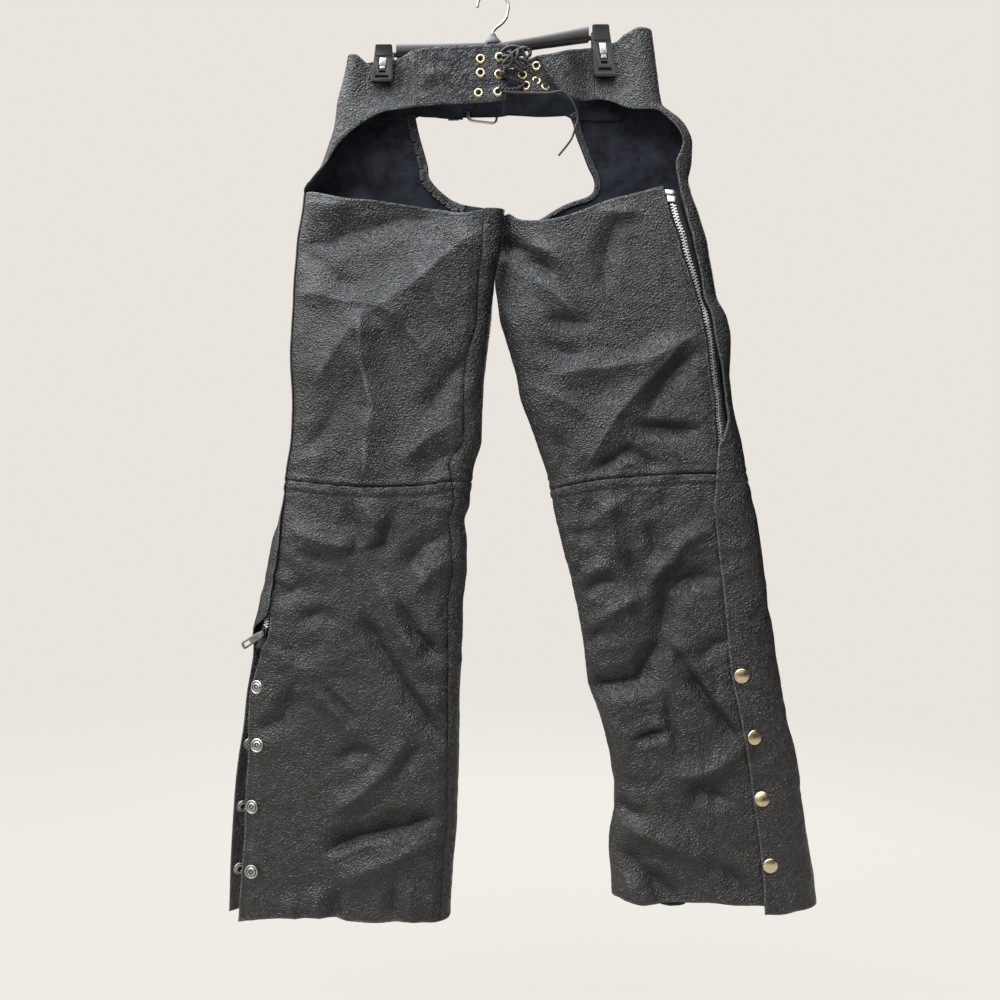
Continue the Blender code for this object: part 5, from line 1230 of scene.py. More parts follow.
# the keeper: a leather bridge over the strap, a closed profile of height and lift carried along x
keeper = {"top": -111.0, "bottom": -137.0, "wall": 1.5, "foot": 1.1, "over": 8.4, "ends": (-55.0, -43.0)}
top, bottom, wall, foot, over = (keeper[key] for key in ("top", "bottom", "wall", "foot", "over"))
profile = (
    (top + wall, foot), (top + wall, over + wall), (bottom - wall, over + wall), (bottom - wall, foot),
    (bottom, foot), (bottom, over), (top, over), (top, foot),
)
first, last = keeper["ends"]
work = bmesh.new()
work.faces.new([work.verts.new((first, z, out)) for z, out in profile])
bmesh.ops.translate(work, verts=growFaces(work), vec=(last - first, 0, 0))
long = [edge for edge in work.edges if abs(edge.verts[0].co.x - edge.verts[1].co.x) > 1]
bmesh.ops.subdivide_edges(work, edges=long, cuts=5, use_grid_fill=True)
for vert in work.verts:
    vert.co = Vector(farBelt(np.array([vert.co.x]), np.array([vert.co.y]), vert.co.z)[0]) * mm
bmesh.ops.recalc_face_normals(work, faces=work.faces[:])
bridge = finishPiece(
    "strapKeeper", work, ("leather",), replaces=("strap_keeper",), smooth=False
)
rounding = bridge.modifiers.new("edges", "BEVEL")
rounding.width, rounding.segments = 0.45 * mm, 2

# the turned strips inside the seat opening
facing = {
    "in": 2.3, "near": 1.0, "thick": 1.2, "side": {"left": -1, "right": 1},
    "wide": {"left": (9.5, 10.5), "right": (7.5, 4.0)},
    "cuts": {"left": (17, 30, 46, 65, 77, 91, 112, 126), "right": ()}, "cut": (1.4, 7.0),
    "on": {"left": ((-33, -247.5),), "right": ()},
}


# a strip along the line, clipped with small V cuts from its far edge
def stripOutline(line, near, wides, cuts, cut):
    points = np.array(line, float)
    done = np.concatenate(([0], np.cumsum(np.hypot(*np.diff(points, axis=0).T))))
    corners = [place + side for place in cuts for side in (-cut[0], 0, cut[0])]
    at = sorted({*np.arange(0, done[-1], 2.5), done[-1], *corners})
    points = np.stack([np.interp(at, done, column) for column in points.T], axis=1)
    ahead = np.gradient(points, axis=0)
    left = np.stack((-ahead[:, 1], ahead[:, 0]), axis=1)
    left /= np.linalg.norm(left, axis=1, keepdims=True)
    far = [wides[0] + (wides[1] - wides[0]) * d / done[-1] - (cut[1] if d in cuts else 0) for d in at]
    side = math.copysign(1, near)
    outer = points + left * (near + side * np.array(far)[:, None])
    return [tuple(p) for p in points + left * near] + [tuple(p) for p in outer[::-1]]


for name, leg in legs.items():
    side = facing["side"][name]
    line = smoothRow(leg["seatEdge"][:-1] + facing["on"][name], 1.0)
    strip = stripOutline(
        line, side * facing["near"], facing["wide"][name], facing["cuts"][name], facing["cut"]
    )
    outline = [(-nearAround(leg, x, z), z) for x, z in strip]
    front = frontPlace[name]
    makeCloth(
        name + "SeatFacing", outline, lambda around, z: front(around, z, -facing["in"]), 2.0,
        name + "_seat_facing",
        thick=facing["thick"], turned=leg["sign"] > 0, hangs=[name + "_front_thigh"],
    )
print("belts, strap and facings made")

# hardware helpers
def spotOn(place, around, z, out=0.0):
    return Vector(place(np.array([float(around)]), np.array([float(z)]), out)[0])


def surfaceFrame(place, around, z, out, step=3.0):  # point, outward, across and up, on the cloth as it lies
    point = spotOn(place, around, z, out)
    across = spotOn(place, around + step, z, out) - spotOn(place, around - step, z, out)
    up = spotOn(place, around, z + step, out) - spotOn(place, around, z - step, out)
    level = across.cross(up).normalized()
    normal = level if level.dot(spotOn(place, around, z, out + 1) - point) > 0 else -level
    across.normalize()
    up = normal.cross(across)
    return point, normal, across, -up if up.z < 0 else up


def turn(work, profile, point, normal, steps=36, closed=False):  # radius and height, spun round the normal
    side = normal.orthogonal().normalized()
    verts = [work.verts.new(point + side * radius + normal * height) for radius, height in profile]
    pairs = list(zip(verts, verts[1:])) + ([(verts[-1], verts[0])] if closed else [])
    edges = [work.edges.new(pair) for pair in pairs]
    bmesh.ops.spin(
        work, geom=verts + edges, cent=point, axis=normal, angle=2 * math.pi, steps=steps, use_merge=True
    )


def darkBands(work, axes, bands):  # the second finish between these radii from an axis
    for face in work.faces:
        middle = face.calc_center_median()
        for point, normal in axes:
            offset = middle - point
            radius = (offset - normal * offset.dot(normal)).length
            if offset.length < 12 and any(low < radius < high for low, high in bands):
                face.material_index = 1


def finishTurned(name, work, finish, nodes, smoothAngle=0.7):
    bmesh.ops.remove_doubles(work, verts=work.verts[:], dist=0.004)
    bmesh.ops.recalc_face_normals(work, faces=work.faces[:])
    bmesh.ops.scale(work, verts=work.verts[:], vec=(mm, mm, mm))
    piece = finishPiece(name, work, finish.split(), replaces=nodes)
    piece.data.set_sharp_from_angle(angle=smoothAngle)
    return piece


def numbered(name, count=4):
    return [f"{name}_{number}" for number in range(1, count + 1)]


# eyelets: rolled brass rings with a barrel through the belt, with painted shade inside the barrel
eyeletShape = {
    "ring": (
        (2.9, -2.2), (2.95, 0.2), (3.15, 0.85), (3.7, 1.25), (4.5, 1.2), (5.2, 0.8), (5.6, 0.1), (5.5, -0.35),
        (3.6, -0.5), (3.5, -2.2)
    ),
    "dark": ((2.85, -1.9), (1.4, -2.0), (0, -2.0)),  # a dark disc of painted shade in the hole, where the barrel is seen into
    "lift": 0.9, "inside": 3.35,
}
for side, spots in eyelets.items():
    work, axes = bmesh.new(), []
    for x, z in spots:
        point, normal, _, _ = surfaceFrame(nearBelt, x, z, eyeletShape["lift"])
        turn(work, eyeletShape["ring"], point, normal, closed=True)
        turn(work, eyeletShape["dark"], point, normal)
        axes.append((point, normal))
    # painted shade: the barrel's inside and the disc in it take the dark finish
    darkBands(work, axes, ((0, eyeletShape["inside"]),))
    finishTurned(side + "Eyelets", work, "brass cutEdge", numbered(side + "_eyelet", len(spots)))

# snaps: brass caps, nickel studs on the left zip edge and their sockets inside the flap
snaps = {
    "rightCaps": ((290.6, -814), (304.8, -885), (314.2, -957.5), (323.5, -1035)),
    "leftStuds": ((-277.5, -829), (-276, -896.5), (-281.8, -968), (-282, -1043)),
    "leftSockets": (-834, -904, -980, -1056),
    "socketIn": 13.0, "out": 1.5,
    "cap": (
        (8.4, -0.2), (8.75, 0.3), (8.6, 0.95), (8.1, 1.35), (7.4, 1.5), (6.2, 1.95), (4.4, 2.5), (2.2, 2.82),
        (0, 2.9)
    ),
    "stud": (
        (7.7, -0.1), (8.15, 0.35), (8.0, 0.95), (7.4, 1.35), (6.6, 1.3), (6.1, 1.0), (5.9, 0.3), (5.4, 0.3),
        (5.2, 1.1), (4.7, 1.6),
        (3.7, 1.8), (3.0, 1.7), (2.6, 1.1), (1.7, 0.7), (1.4, 0.8), (1.0, 1.3), (0, 1.5),
    ),
    "bands": ((5.3, 6.0), (1.1, 2.8)),
    "socket": (
        (2.7, 0.0), (2.75, 1.3), (3.3, 1.75), (4.3, 1.9), (5.1, 1.35), (5.9, 1.3), (6.8, 1.65), (7.4, 1.2),
        (7.6, 0.3), (7.3, -0.1),
    ),
}
work = bmesh.new()
for x, z in snaps["rightCaps"]:
    point, normal, _, _ = surfaceFrame(
        frontPlace["right"], nearAround(legs["right"], x, z), z, snaps["out"], 7.0
    )
    turn(work, snaps["cap"], point, normal)
finishTurned("rightSnapCaps", work, "brass", numbered("right_snap_cap"))
work, axes = bmesh.new(), []
for x, z in snaps["leftStuds"]:
    point, normal, _, _ = surfaceFrame(
        backPlace["left"], nearAround(legs["left"], x, z), z, snaps["out"] - 0.3, 5.0
    )
    turn(work, snaps["stud"], point, normal)
    axes.append((point, normal))
darkBands(work, axes, snaps["bands"])
finishTurned("leftSnapStuds", work, "steel cutEdge", numbered("left_snap_stud"))
work, capWork = bmesh.new(), bmesh.new()
for z in snaps["leftSockets"]:
    point, normal, _, _ = surfaceFrame(frontPlace["left"], snaps["socketIn"], z, -snaps["out"] - 0.2, 5.0)
    turn(work, snaps["socket"], point, -normal, closed=True)
    point, normal, _, _ = surfaceFrame(frontPlace["left"], snaps["socketIn"], z, snaps["out"], 5.0)
    turn(capWork, snaps["cap"], point, normal)
finishTurned("leftSnapSockets", work, "steel", numbered("left_snap_socket"))
finishTurned("leftSnapCaps", capWork, "brass", numbered("left_snap_cap"))
print("eyelets and snaps made")

# zips: woven tapes, metal teeth in two rows, end stops and sliders
zips = {
    "top": -243.0, "end": {"left": -758.5, "right": -766.0}, "fromEdge": 5.6, "tape": (24.0, 1.0, -3.6),
    "tail": 26.0,
    "tooth": (4.3, 1.9, 2.2), "overlap": 0.75, "pitch": 3.44, "out": -1.5, "sliderBelow": 7.0,
}


def chainAt(leg):
    return lambda z: readSmooth(leg["zipEdge"], z)[..., 0] + zips["fromEdge"]


def bevelBox(work, matrix, size, bevel, segments=1):  # a block with eased edges, in its own frame
    made = bmesh.ops.create_cube(work, size=1.0, matrix=matrix @ Matrix.Diagonal((*size, 1)))["verts"]
    edges = list({edge for vert in made for edge in vert.link_edges})
    bmesh.ops.bevel(
        work, geom=edges, offset=bevel, affect="EDGES", segments=segments, profile=0.5, material=-1
    )


def frameMatrix(point, across, up, normal):
    matrix = Matrix((across, up, normal)).transposed().to_4x4()
    matrix.translation = point
    return matrix


for name, leg in legs.items():
    middle, end = chainAt(leg), zips["end"][name]
    wide, thick, out = zips["tape"]
    left = heightRow(lambda z: middle(z) - wide / 2, zips["top"], end - zips["tail"])
    right = heightRow(lambda z: middle(z) + wide / 2, zips["top"], end - zips["tail"])
    base = backPlace[name]
    lower, upper = straightRow(left[-1], right[-1], 3)[1:-1], straightRow(right[0], left[0], 3)[1:-1]
    makeCloth(
        name + "ZipTape", left + lower + right[::-1] + upper,
        lambda around, z: base(around, z, out), 3.0, name + "_zip_tape", thick=thick, turned=leg["sign"] < 0,
        slots=("tape", "tape", "tape"), hangs=[name + "_back_thigh", name + "_back_shin"],
    )
    work = bmesh.new()
    heights = np.arange(zips["top"] - 18, end, -zips["pitch"] / 2)
    arounds = middle(heights)
    spots = base(arounds, heights, zips["out"])
    outs = base(arounds, heights, zips["out"] + 1) - spots
    upper, lower = (base(middle(at), at, zips["out"]) for at in (heights + 2, heights - 2))
    ups = upper - lower
    long, tall, deep = zips["tooth"]
    for number, (spot, outward, up) in enumerate(zip(spots, outs, ups)):
        up, outward = Vector(up).normalized(), Vector(outward).normalized()
        across = up.cross(outward).normalized()
        side = 1 if number % 2 else -1
        point = Vector(spot) + across * side * (long / 2 - zips["overlap"])
        bevelBox(work, frameMatrix(point, across, up, across.cross(up)), (long, tall, deep), 0.35)
    for at, size in ((zips["top"] - 3.4, (11.4, 6.4, 2.6)), (zips["top"] - 11.6, (10.4, 8.2, 2.4))):
        point, outward, across, up = surfaceFrame(base, float(middle(at)), at, zips["out"])
        bevelBox(work, frameMatrix(point, across, up, across.cross(up)), size, 0.7, 2)
        bevelBox(
            work, frameMatrix(point + outward * 0.9, across, up, across.cross(up)),
            (size[0] - 4.5, size[1] - 3, 1.5), 0.4
        )
    finishTurned(name + "ZipChain", work, "zipMetal", (name + "_zip_chain",), 0.4)

slider = {
    "wide": 7.2, "long": 12.6, "low": -2.0, "top": 2.2, "coveredTop": 0.6, "pull": (9.5, 28.0, 1.2),
    "lean": 48.0, "swing": 26.0
}
for name, leg in legs.items():
    z = zips["end"][name] - zips["sliderBelow"]
    point, outward, across, up = surfaceFrame(backPlace[name], float(chainAt(leg)(z)), z, 0.0)
    top = slider["top"] if name == "left" else slider["coveredTop"]
    across = up.cross(outward).normalized()
    turnTo = frameMatrix(point, across, up, outward)
    work = bmesh.new()
    thick = top - slider["low"] - (1.4 if name == "left" else 0)
    # two plates joined by a neck, waisted towards the lower end
    for level in (slider["low"] + 0.5, slider["low"] + thick - 0.5):
        bevelBox(
            work, turnTo @ Matrix.Translation((0, 0, level)), (slider["wide"], slider["long"], 1.0), 0.4, 2
        )
    bevelBox(work, turnTo @ Matrix.Translation((0, 3.0, slider["low"] + thick / 2)), (2.2, 5.0, thick), 0.3)
    if name == "left":
        for y in (-4.2, 4.2):
            bevelBox(work, turnTo @ Matrix.Translation((0, y, top - 0.9)), (2.0, 1.2, 1.8), 0.3)
        bevelBox(work, turnTo @ Matrix.Translation((0, 0, top + 0.1)), (2.0, 9.4, 0.6), 0.2)
    else:
        bevelBox(work, turnTo @ Matrix.Translation((0, -slider["long"] / 2 + 1.5, 0.1)), (3.4, 9.0, 0.7), 0.2)
    for vert in work.verts:
        local = turnTo.inverted() @ vert.co
        if local.y < 0 and abs(local.x) > 1.5:
            local.x *= 1 + 0.22 * local.y / slider["long"] * 2
            vert.co = turnTo @ local
    finishTurned(name + "ZipSlider", work, "pull", (name + "_zip_slider",), 0.5)
    if name == "left":
        hinge = frame["joints"][0]
        outerWay = across if across.x < 0 else -across
        lean, swing = math.radians(slider["lean"]), math.radians(slider["swing"])
        flatWay = outerWay * math.sin(lean) - up * math.cos(lean)
        along = (flatWay * math.cos(swing) + outward * math.sin(swing)).normalized()
        axis = along.cross(outward).normalized()
        pullFrame = (axis, along, axis.cross(along))
print("zips made")

# pull tab: a dark plate with a window near its free end, hanging out on its hinge
work = bmesh.new()
wide, long, thick = slider["pull"]
axis, along, face = pullFrame
pivot = Vector(hinge["pos_m"]) / mm
half = wide / 2
outline = [
    (-half + 1.6, long), (half - 1.6, long), (half, long - 1.6), (half, 6), (half - 1.4, 0), (1.6, -1),
    (-1.6, -1), (-half + 1.4, 0), (-half, 6), (-half, long - 1.6)
]
work.faces.new([work.verts.new((x, y, 0)) for x, y in outline])
window = {"x": (-half + 2.3, half - 2.3), "y": (long - 10, long - 3)}
for way, normal in (("x", Vector((1, 0, 0))), ("y", Vector((0, 1, 0)))):
    for at in window[way]:
        bmesh.ops.bisect_plane(work, geom=wholeOf(work), plane_co=normal * at, plane_no=normal)
(left, right), (low, high) = window["x"], window["y"]
within = lambda at: left < at.x < right and low < at.y < high
inside = [face for face in work.faces if within(face.calc_center_median())]
bmesh.ops.delete(work, geom=inside, context="FACES")
bmesh.ops.translate(work, verts=work.verts[:], vec=(0, 0, -thick / 2))
bmesh.ops.translate(work, verts=growFaces(work), vec=(0, 0, thick))
bmesh.ops.recalc_face_normals(work, faces=work.faces[:])
sharp = [edge for edge in work.edges if edge.is_manifold and edge.calc_face_angle() > 0.6]
bmesh.ops.bevel(work, geom=sharp, offset=0.28, affect="EDGES", segments=2, profile=0.5, material=-1)
for y in (7.5, 10.5, 13.5):  # grip ribs
    bevelBox(work, Matrix.Translation((0, y, 0)), (wide - 3.2, 1.1, thick + 0.7), 0.3)
bevelBox(work, Matrix.Translation((0, 0, 0)), (3.0, 2.4, 2.2), 0.5, 2)  # eye on the slider's bridge
bmesh.ops.transform(work, matrix=frameMatrix(pivot, axis, along, face), verts=work.verts[:])
bmesh.ops.scale(work, verts=work.verts[:], vec=(mm, mm, mm))
pull = finishPiece("leftZipPull", work, ("pull",), body="pull_tab", replaces=("left_zip_pull",))
pull.data.set_sharp_from_angle(angle=0.5)
print("pull tab made")

# buckle: a rounded nickel frame round the strap, with its prong
buckle = {
    "left": -31.0, "right": 4.0, "top": -103.0, "bottom": -141.0, "wire": 1.9, "corner": 6.0, "low": 3.1,
    "high": 10.3
}
corner = buckle["corner"]
ring = []
for first, across, up in (
    (0, "right", "top"), (90, "left", "top"), (180, "left", "bottom"), (270, "right", "bottom")
):
    cornerX = buckle[across] + (corner if across == "left" else -corner)
    cornerZ = buckle[up] + (corner if up == "bottom" else -corner)
    for degrees in range(0, 91, 15):
        angle = math.radians(first + degrees)
        ring.append((cornerX + corner * math.cos(angle), cornerZ + corner * math.sin(angle)))
full = closedRow(ring, 3.0)
plainBelt = lambda x, z, out: np.stack((x, belts["depth"] * pinch(x, z) + frontSag(x, z) + out, z), axis=-1)
xs, zs = np.array(full).T
rise = np.clip((xs - buckle["left"] - 4) / (buckle["right"] - buckle["left"] - 8), 0, 1)
lift = buckle["low"] + (buckle["high"] - buckle["low"]) * rise
curve = newCurve("buckle", buckle["wire"], 4)
middleZ = (buckle["top"] + buckle["bottom"]) / 2
prongPath = smoothRoute([
    plainBelt(np.array(x), np.array(z), out) for x, z, out in (
        (buckle["left"] - 1, middleZ, 6.6), (buckle["left"] + 2, middleZ, 10.6),
        (buckle["left"] + 12, middleZ, 11.6),
        (buckle["right"] - 6, middleZ, 12.2), (buckle["right"] + 1, middleZ, 13.2),
    )
], 1.5)
for points, closed, share in ((plainBelt(xs, zs, lift), True, 1.0), (prongPath, False, 0.72)):
    spline = addSpline(curve, points, share)
    spline.use_cyclic_u = closed
    spline.material_index = 0 if closed else 1
curve.materials.append(finishes["zipMetal"])
curve.materials.append(finishes["pull"])
buckleFrame = addObject("buckleFrame", curve)
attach(buckleFrame, "chaps")
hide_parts("buckle")

# hanger: wire hook, tapered tube with a collar, and two clips
hanger = {"hook": 17.0, "wire": 3.4, "collarTop": -49.5, "bar": (
    (-118.8, -74, 3.0, 2.6), (-116.2, -74, 3.0, 2.6), (-116.0, -70, 6.9, 3.9), (-115.4, -70, 8.0, 4.8),
    (-60.0, -69, 7.5, 5.2),
    (-12.0, -67, 6.5, 5.6), (0.0, -65, 8.0, 6.2), (12.0, -66.5, 6.5, 5.6), (60.0, -59, 7.5, 5.2),
    (114.2, -50, 9.5, 4.8),
    (114.8, -50, 8.4, 3.9), (115.0, -54, 3.0, 2.6), (118.0, -54, 3.0, 2.6),
), "collar": (
    (11.0, -62.0), (10.6, -59.6), (9.0, -57.4), (6.2, -54.6), (4.6, -52.6), (3.5, -50.4), (3.2, -49.5),
    (1.75, -49.5),
)}
bend = hanger["hook"] + hanger["wire"] / 2
route = [(0, 0, hanger["collarTop"] - 1), (0.2, 0, -46.5), (4, 0, -42), (11, 0, -36.5), (16, 0, -30)]
for degrees in range(-20, 200, 20):
    angle = math.radians(degrees)
    route.append((bend * math.cos(angle), 0, -hanger["hook"] + bend * math.sin(angle)))
hook, _ = makeWire("hangerHook", route, hanger["wire"], 1.5, "hookSteel", sides=5)
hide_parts("hanger_hook")
work = bmesh.new()
previous = None
for x, middle, tall, deep in hanger["bar"]:
    made = bmesh.ops.create_circle(
        work, segments=40, radius=1.0, matrix=Matrix.Rotation(math.pi / 2, 4, "Y")
    )["verts"]
    edges = list({edge for vert in made for edge in vert.link_edges})
    for vert in made:
        y, z = vert.co.y, vert.co.z
        vert.co = (x, deep * math.copysign(abs(y) ** 0.8, y), middle + tall * math.copysign(abs(z) ** 0.8, z))
    if previous:
        bmesh.ops.bridge_loops(work, edges=previous + edges)
    else:
        work.faces.new(made)
    previous = edges
work.faces.new(made)
turn(work, hanger["collar"], Vector((0, 0, 0)), Vector((0, 0, 1)), steps=40)
for vert in work.verts:  # the collar is flattened from front to back
    if math.hypot(vert.co.x, vert.co.y) < 11.2 and -62.001 <= vert.co.z <= -49.4:
        vert.co.y *= 0.55
finishTurned("hangerBar", work, "bar", ("hanger_bar",), 0.5)

clipShape = {
    "half": (13.6, 9.8), "thick": 3.4, "corner": 3.4, "window": ((-5.4, 5.4), (0.33, 0.66)),
    "recess": ((-4.2, 4.2), (0.24, 0.30)),
    "slot": ((-8.0, 8.0), (0.10, 0.17)), "spring": (0.37, 0.62),
    "depths": ((0.0, 8.9), (0.12, 9.6), (0.62, 8.8), (0.86, 9.4), (0.97, 11.6), (1.0, 10.4)),
}


def clipPlace(side, nearSide):
    clip = clips[side]
    height = clip["top"] - clip["bottom"]
    lean = math.tan(math.radians(clip["lean"]))
    shares, depths = zip(*clipShape["depths"])

    def place(u, share, out=0.0):  # u across in millimetres at the bottom's scale
        narrow = clipShape["half"][1] / clipShape["half"][0]
        x = clip["x"] + u * (1 + (narrow - 1) * share) - (share - 0.5) * height * lean
        y = -(float(np.interp(share, shares, depths)) + out)
        return Vector((x, y if nearSide else -y, clip["bottom"] + share * height))

    return place, height


def addPlate(work, place, outline, holes, thick, out=0.0, rounding=0.5):
    sheet = bmesh.new()
    sheet.faces.new([sheet.verts.new((u, v, 0)) for u, v in outline])
    cuts = [(Vector((1, 0, 0)), u) for hole in holes for u in hole[0]]
    cuts += [(Vector((0, 1, 0)), v) for hole in holes for v in hole[1]]
    cuts += [(Vector((0, 1, 0)), share) for share, _ in clipShape["depths"][1:-1]]
    for normal, at in cuts:
        bmesh.ops.bisect_plane(sheet, geom=wholeOf(sheet), dist=1e-5, plane_co=normal * at, plane_no=normal)

    def covered(face):
        middle = face.calc_center_median()
        return any(h[0][0] < middle.x < h[0][1] and h[1][0] < middle.y < h[1][1] for h in holes)

    bmesh.ops.delete(sheet, geom=[face for face in sheet.faces if covered(face)], context="FACES")
    inner = set(growFaces(sheet))
    for vert in sheet.verts:
        vert.co = place(vert.co.x, vert.co.y, out - (thick if vert in inner else 0))
    bmesh.ops.recalc_face_normals(sheet, faces=sheet.faces[:])
    bmesh.ops.dissolve_limit(sheet, angle_limit=0.02, verts=sheet.verts[:], edges=sheet.edges[:])
    sharp = [edge for edge in sheet.edges if edge.is_manifold and edge.calc_face_angle() > 0.5]
    bmesh.ops.bevel(sheet, geom=sharp, offset=rounding, affect="EDGES", segments=2, profile=0.5, material=-1)
    mesh = bpy.data.meshes.new("plate")
    sheet.to_mesh(mesh)
    sheet.free()
    work.from_mesh(mesh)
    bpy.data.meshes.remove(mesh)


def roundedOutline(halfLow, low, high, cornerU, cornerV, topU=0.0, topV=0.0):  # a plate's edge, corners eased
    rows = []
    corners = (
        (180, -halfLow + cornerU, low + cornerV, cornerU, cornerV),
        (270, halfLow - cornerU, low + cornerV, cornerU, cornerV),
        (0, halfLow - topU, high - topV, topU, topV), (90, -halfLow + topU, high - topV, topU, topV),
    )
    for turnAt, u, v, ru, rv in corners:
        for degrees in range(0, 91, 15):
            angle = math.radians(turnAt + degrees)
            rows.append((u + ru * math.cos(angle), v + rv * math.sin(angle)))
    return rows


low, high = clipShape["spring"]
plates = (  # outline, thickness, lift and rounding
    ((11.8, 0.03, 0.93, 1, 0.01, 1, 0.01), 1.2, -2.6, 0.2),  # back of the window and of the slot
    ((12.6, 0.0, 0.085, 2.5, 0.03, 1, 0.01), 5.6, 0.5, 0.45),  # gripping lip
    ((12.2, 0.70, 0.985, 1, 0.01, 2.6, 0.03), 1.6, 0.7, 0.5),  # finger rest at the top
)
springPlates = (
    ((4.6, low + 0.06, high, 0.6, 0.01, 1.2, 0.02), 1.0, 1.3, 0.35),
    ((3.6, low - 0.02, low + 0.10, 0.5, 0.01, 0.5, 0.01), 1.0, 0.5, 0.3),
    ((5.0, high - 0.02, high + 0.03, 0.3, 0.01, 0.3, 0.01), 1.4, 0.6, 0.3),
)
for side in clips:
    work, springWork = bmesh.new(), bmesh.new()
    for nearSide in (True, False):
        place, height = clipPlace(side, nearSide)
        half, corner = clipShape["half"][0], clipShape["corner"]
        outline = roundedOutline(half, 0.0, 1.0, corner, corner / height, 3.0, 2.4 / height)
        openings = [clipShape[part] for part in ("window", "recess", "slot")]
        addPlate(work, place, outline, openings, clipShape["thick"])
        for target, rows in ((work, plates), (springWork, springPlates)):
            for shape, thick, out, rounding in rows:
                addPlate(target, place, roundedOutline(*shape), (), thick, out, rounding)
    clip = clips[side]
    lean = math.tan(math.radians(clip["lean"]))
    middleZ = clip["bottom"] + 0.72 * height
    tilt = Matrix.Rotation(-math.radians(clip["lean"]), 4, "Y")
    block = Matrix.Translation((clip["x"] - 0.22 * height * lean, 0, middleZ)) @ tilt
    bevelBox(work, block, (17.5, 13.0, 0.42 * height), 1.5, 2)
    finishTurned(side + "Clip", work, "clip", (side + "_clip",), 0.5)
    finishTurned(side + "ClipSpring", springWork, "steel", (side + "_clip_spring",), 0.5)
print("buckle and hanger made")

# sewing: short dashes along rows beside the edges and seams, all of one panel group in one mesh
stitch = {
    "pitch": 3.3, "long": 2.3, "wide": 0.8, "deep": 0.55, "up": hide / 2 + 0.1, "seam": (4.2, 9.0),
    "zip": (3.6, 7.2), "edge": 3.2, "belt": 2.6
}


def evenly(row, pitch):
    row = np.array(row, float)
    lengths = np.concatenate(([0], np.cumsum(np.hypot(*np.diff(row, axis=0).T))))
    at = np.arange(pitch / 2, lengths[-1], pitch)
    return np.stack([np.interp(at, lengths, column) for column in row.T], axis=1)


def sewRow(work, place, row):
    row = evenly(row, stitch["pitch"])
    if len(row) < 3:
        return
    ahead = np.gradient(row, axis=0)
    ahead /= np.hypot(*ahead.T)[:, None]
    aside = np.stack((-ahead[:, 1], ahead[:, 0]), axis=1)
    at = lambda points: place(points[:, 0], points[:, 1], stitch["up"])
    alongs, acrosses = at(row + ahead) - at(row - ahead), at(row + aside * 0.6) - at(row - aside * 0.6)
    for spot, along, across in zip(at(row), alongs, acrosses):
        along = Vector(along).normalized()
        out = along.cross(Vector(across)).normalized()
        matrix = Matrix((along, out.cross(along), out)).transposed().to_4x4()
        matrix.translation = Vector(spot)
        size = Matrix.Diagonal((stitch["long"], stitch["wide"], stitch["deep"], 1))
        bmesh.ops.create_cube(work, size=1.0, matrix=Matrix.Scale(mm, 4) @ matrix @ size)


def finishSewing(name, work):
    count = len(work.faces) // 6
    finishPiece(name, work, ("thread",), smooth=False)
    print(f"{name}: {count} stitches")


def insetRow(points, distance):  # a closed outline moved inwards
    row = closedRow(points if turnsLeft(points) else points[::-1], 3.0)
    row = np.array(row + row[:1])
    ahead = np.roll(row, -1, axis=0) - np.roll(row, 1, axis=0)
    ahead /= np.maximum(np.hypot(*ahead.T), 1e-6)[:, None]
    return row + np.stack((-ahead[:, 1], ahead[:, 0]), axis=1) * distance


for name, leg in legs.items():
    back, front = backPlace[name], frontPlace[name]
    work = bmesh.new()
    kneeNear = sorted(nearRow(leg, leg["knee"]))
    hemZ, topZ = leg["hem"][0][1], leg["thighTop"][-1][1]
    for away in stitch["seam"]:
        sewRow(work, back, heightRow(lambda z: inseamAt(leg)(z) + away, topZ - 4, kneeNear[0][1] + 2))
        sewRow(
            work, back,
            heightRow(lambda z: inseamAt(leg)(z) + away, kneeNear[0][1] - 3, min(hemZ, leg["hem"][-1][1]) + 3)
        )
    for away in stitch["zip"]:
        sewRow(work, back, heightRow(lambda z: edgeAt(leg, "zipEdge")(z) - away, -246, kneeNear[-1][1] + 2))
        sewRow(
            work, back, heightRow(lambda z: edgeAt(leg, "zipEdge")(z) - away, kneeNear[-1][1] - 3, hemZ + 4)
        )
    for drop in (2.0, 10.0):
        sewRow(work, back, [(u, z - drop) for u, z in kneeNear[2:-2]])
        sewRow(
            work, front,
            straightRow((12.0, knee["far"] - drop), (halfLength(leg, -590) - 12, knee["far"] - drop), 3)
        )
    topRow = sorted(nearRow(leg, leg["thighTop"]))
    sewRow(work, back, [(u, z - stitch["edge"]) for u, z in topRow[2:-2]])
    finishSewing(name + "BackSewing", work)
    work = bmesh.new()
    for high, low in ((knee["hipTop"] - 2, knee["far"] + 3), (knee["far"] - 3, leg["hemFarEnds"][0] + 4)):
        sewRow(work, front, heightRow(lambda z: edgeAt(leg, "flapEdge")(z) + stitch["edge"], high, low))
    hip = np.array(nearRow(leg, leg["hipEdge"]))
    ahead = np.gradient(hip, axis=0)
    ahead /= np.hypot(*ahead.T)[:, None]
    sideways = np.stack((-ahead[:, 1], ahead[:, 0]), axis=1)
    if sideways[:, 1].mean() < 0:
        sideways = -sideways
    sewRow(work, front, hip + sideways * stitch["edge"])
    finishSewing(name + "FrontSewing", work)

work = bmesh.new()
for key, seamAt in (("leftBack", -95.5), ("rightBack", 121.5)):
    row = insetRow(belts[key], stitch["belt"])
    side = np.sign(seamAt)
    for sewn in np.split(row, np.flatnonzero(np.abs(row[:, 0] - seamAt) < 3.5) + 1):
        if len(sewn) > 3:
            sewRow(work, nearBelt, sewn)
    for away in (2.6, 5.2):
        x = seamAt - side * away
        edge = [z for u, z in closedRow(belts[key], 1.0) if abs(u - x) < 1.2]
        sewRow(work, nearBelt, straightRow((x, max(edge) - 2), (x, min(edge) + 2), 3))
finishSewing("beltSewing", work)
print("sewing made")

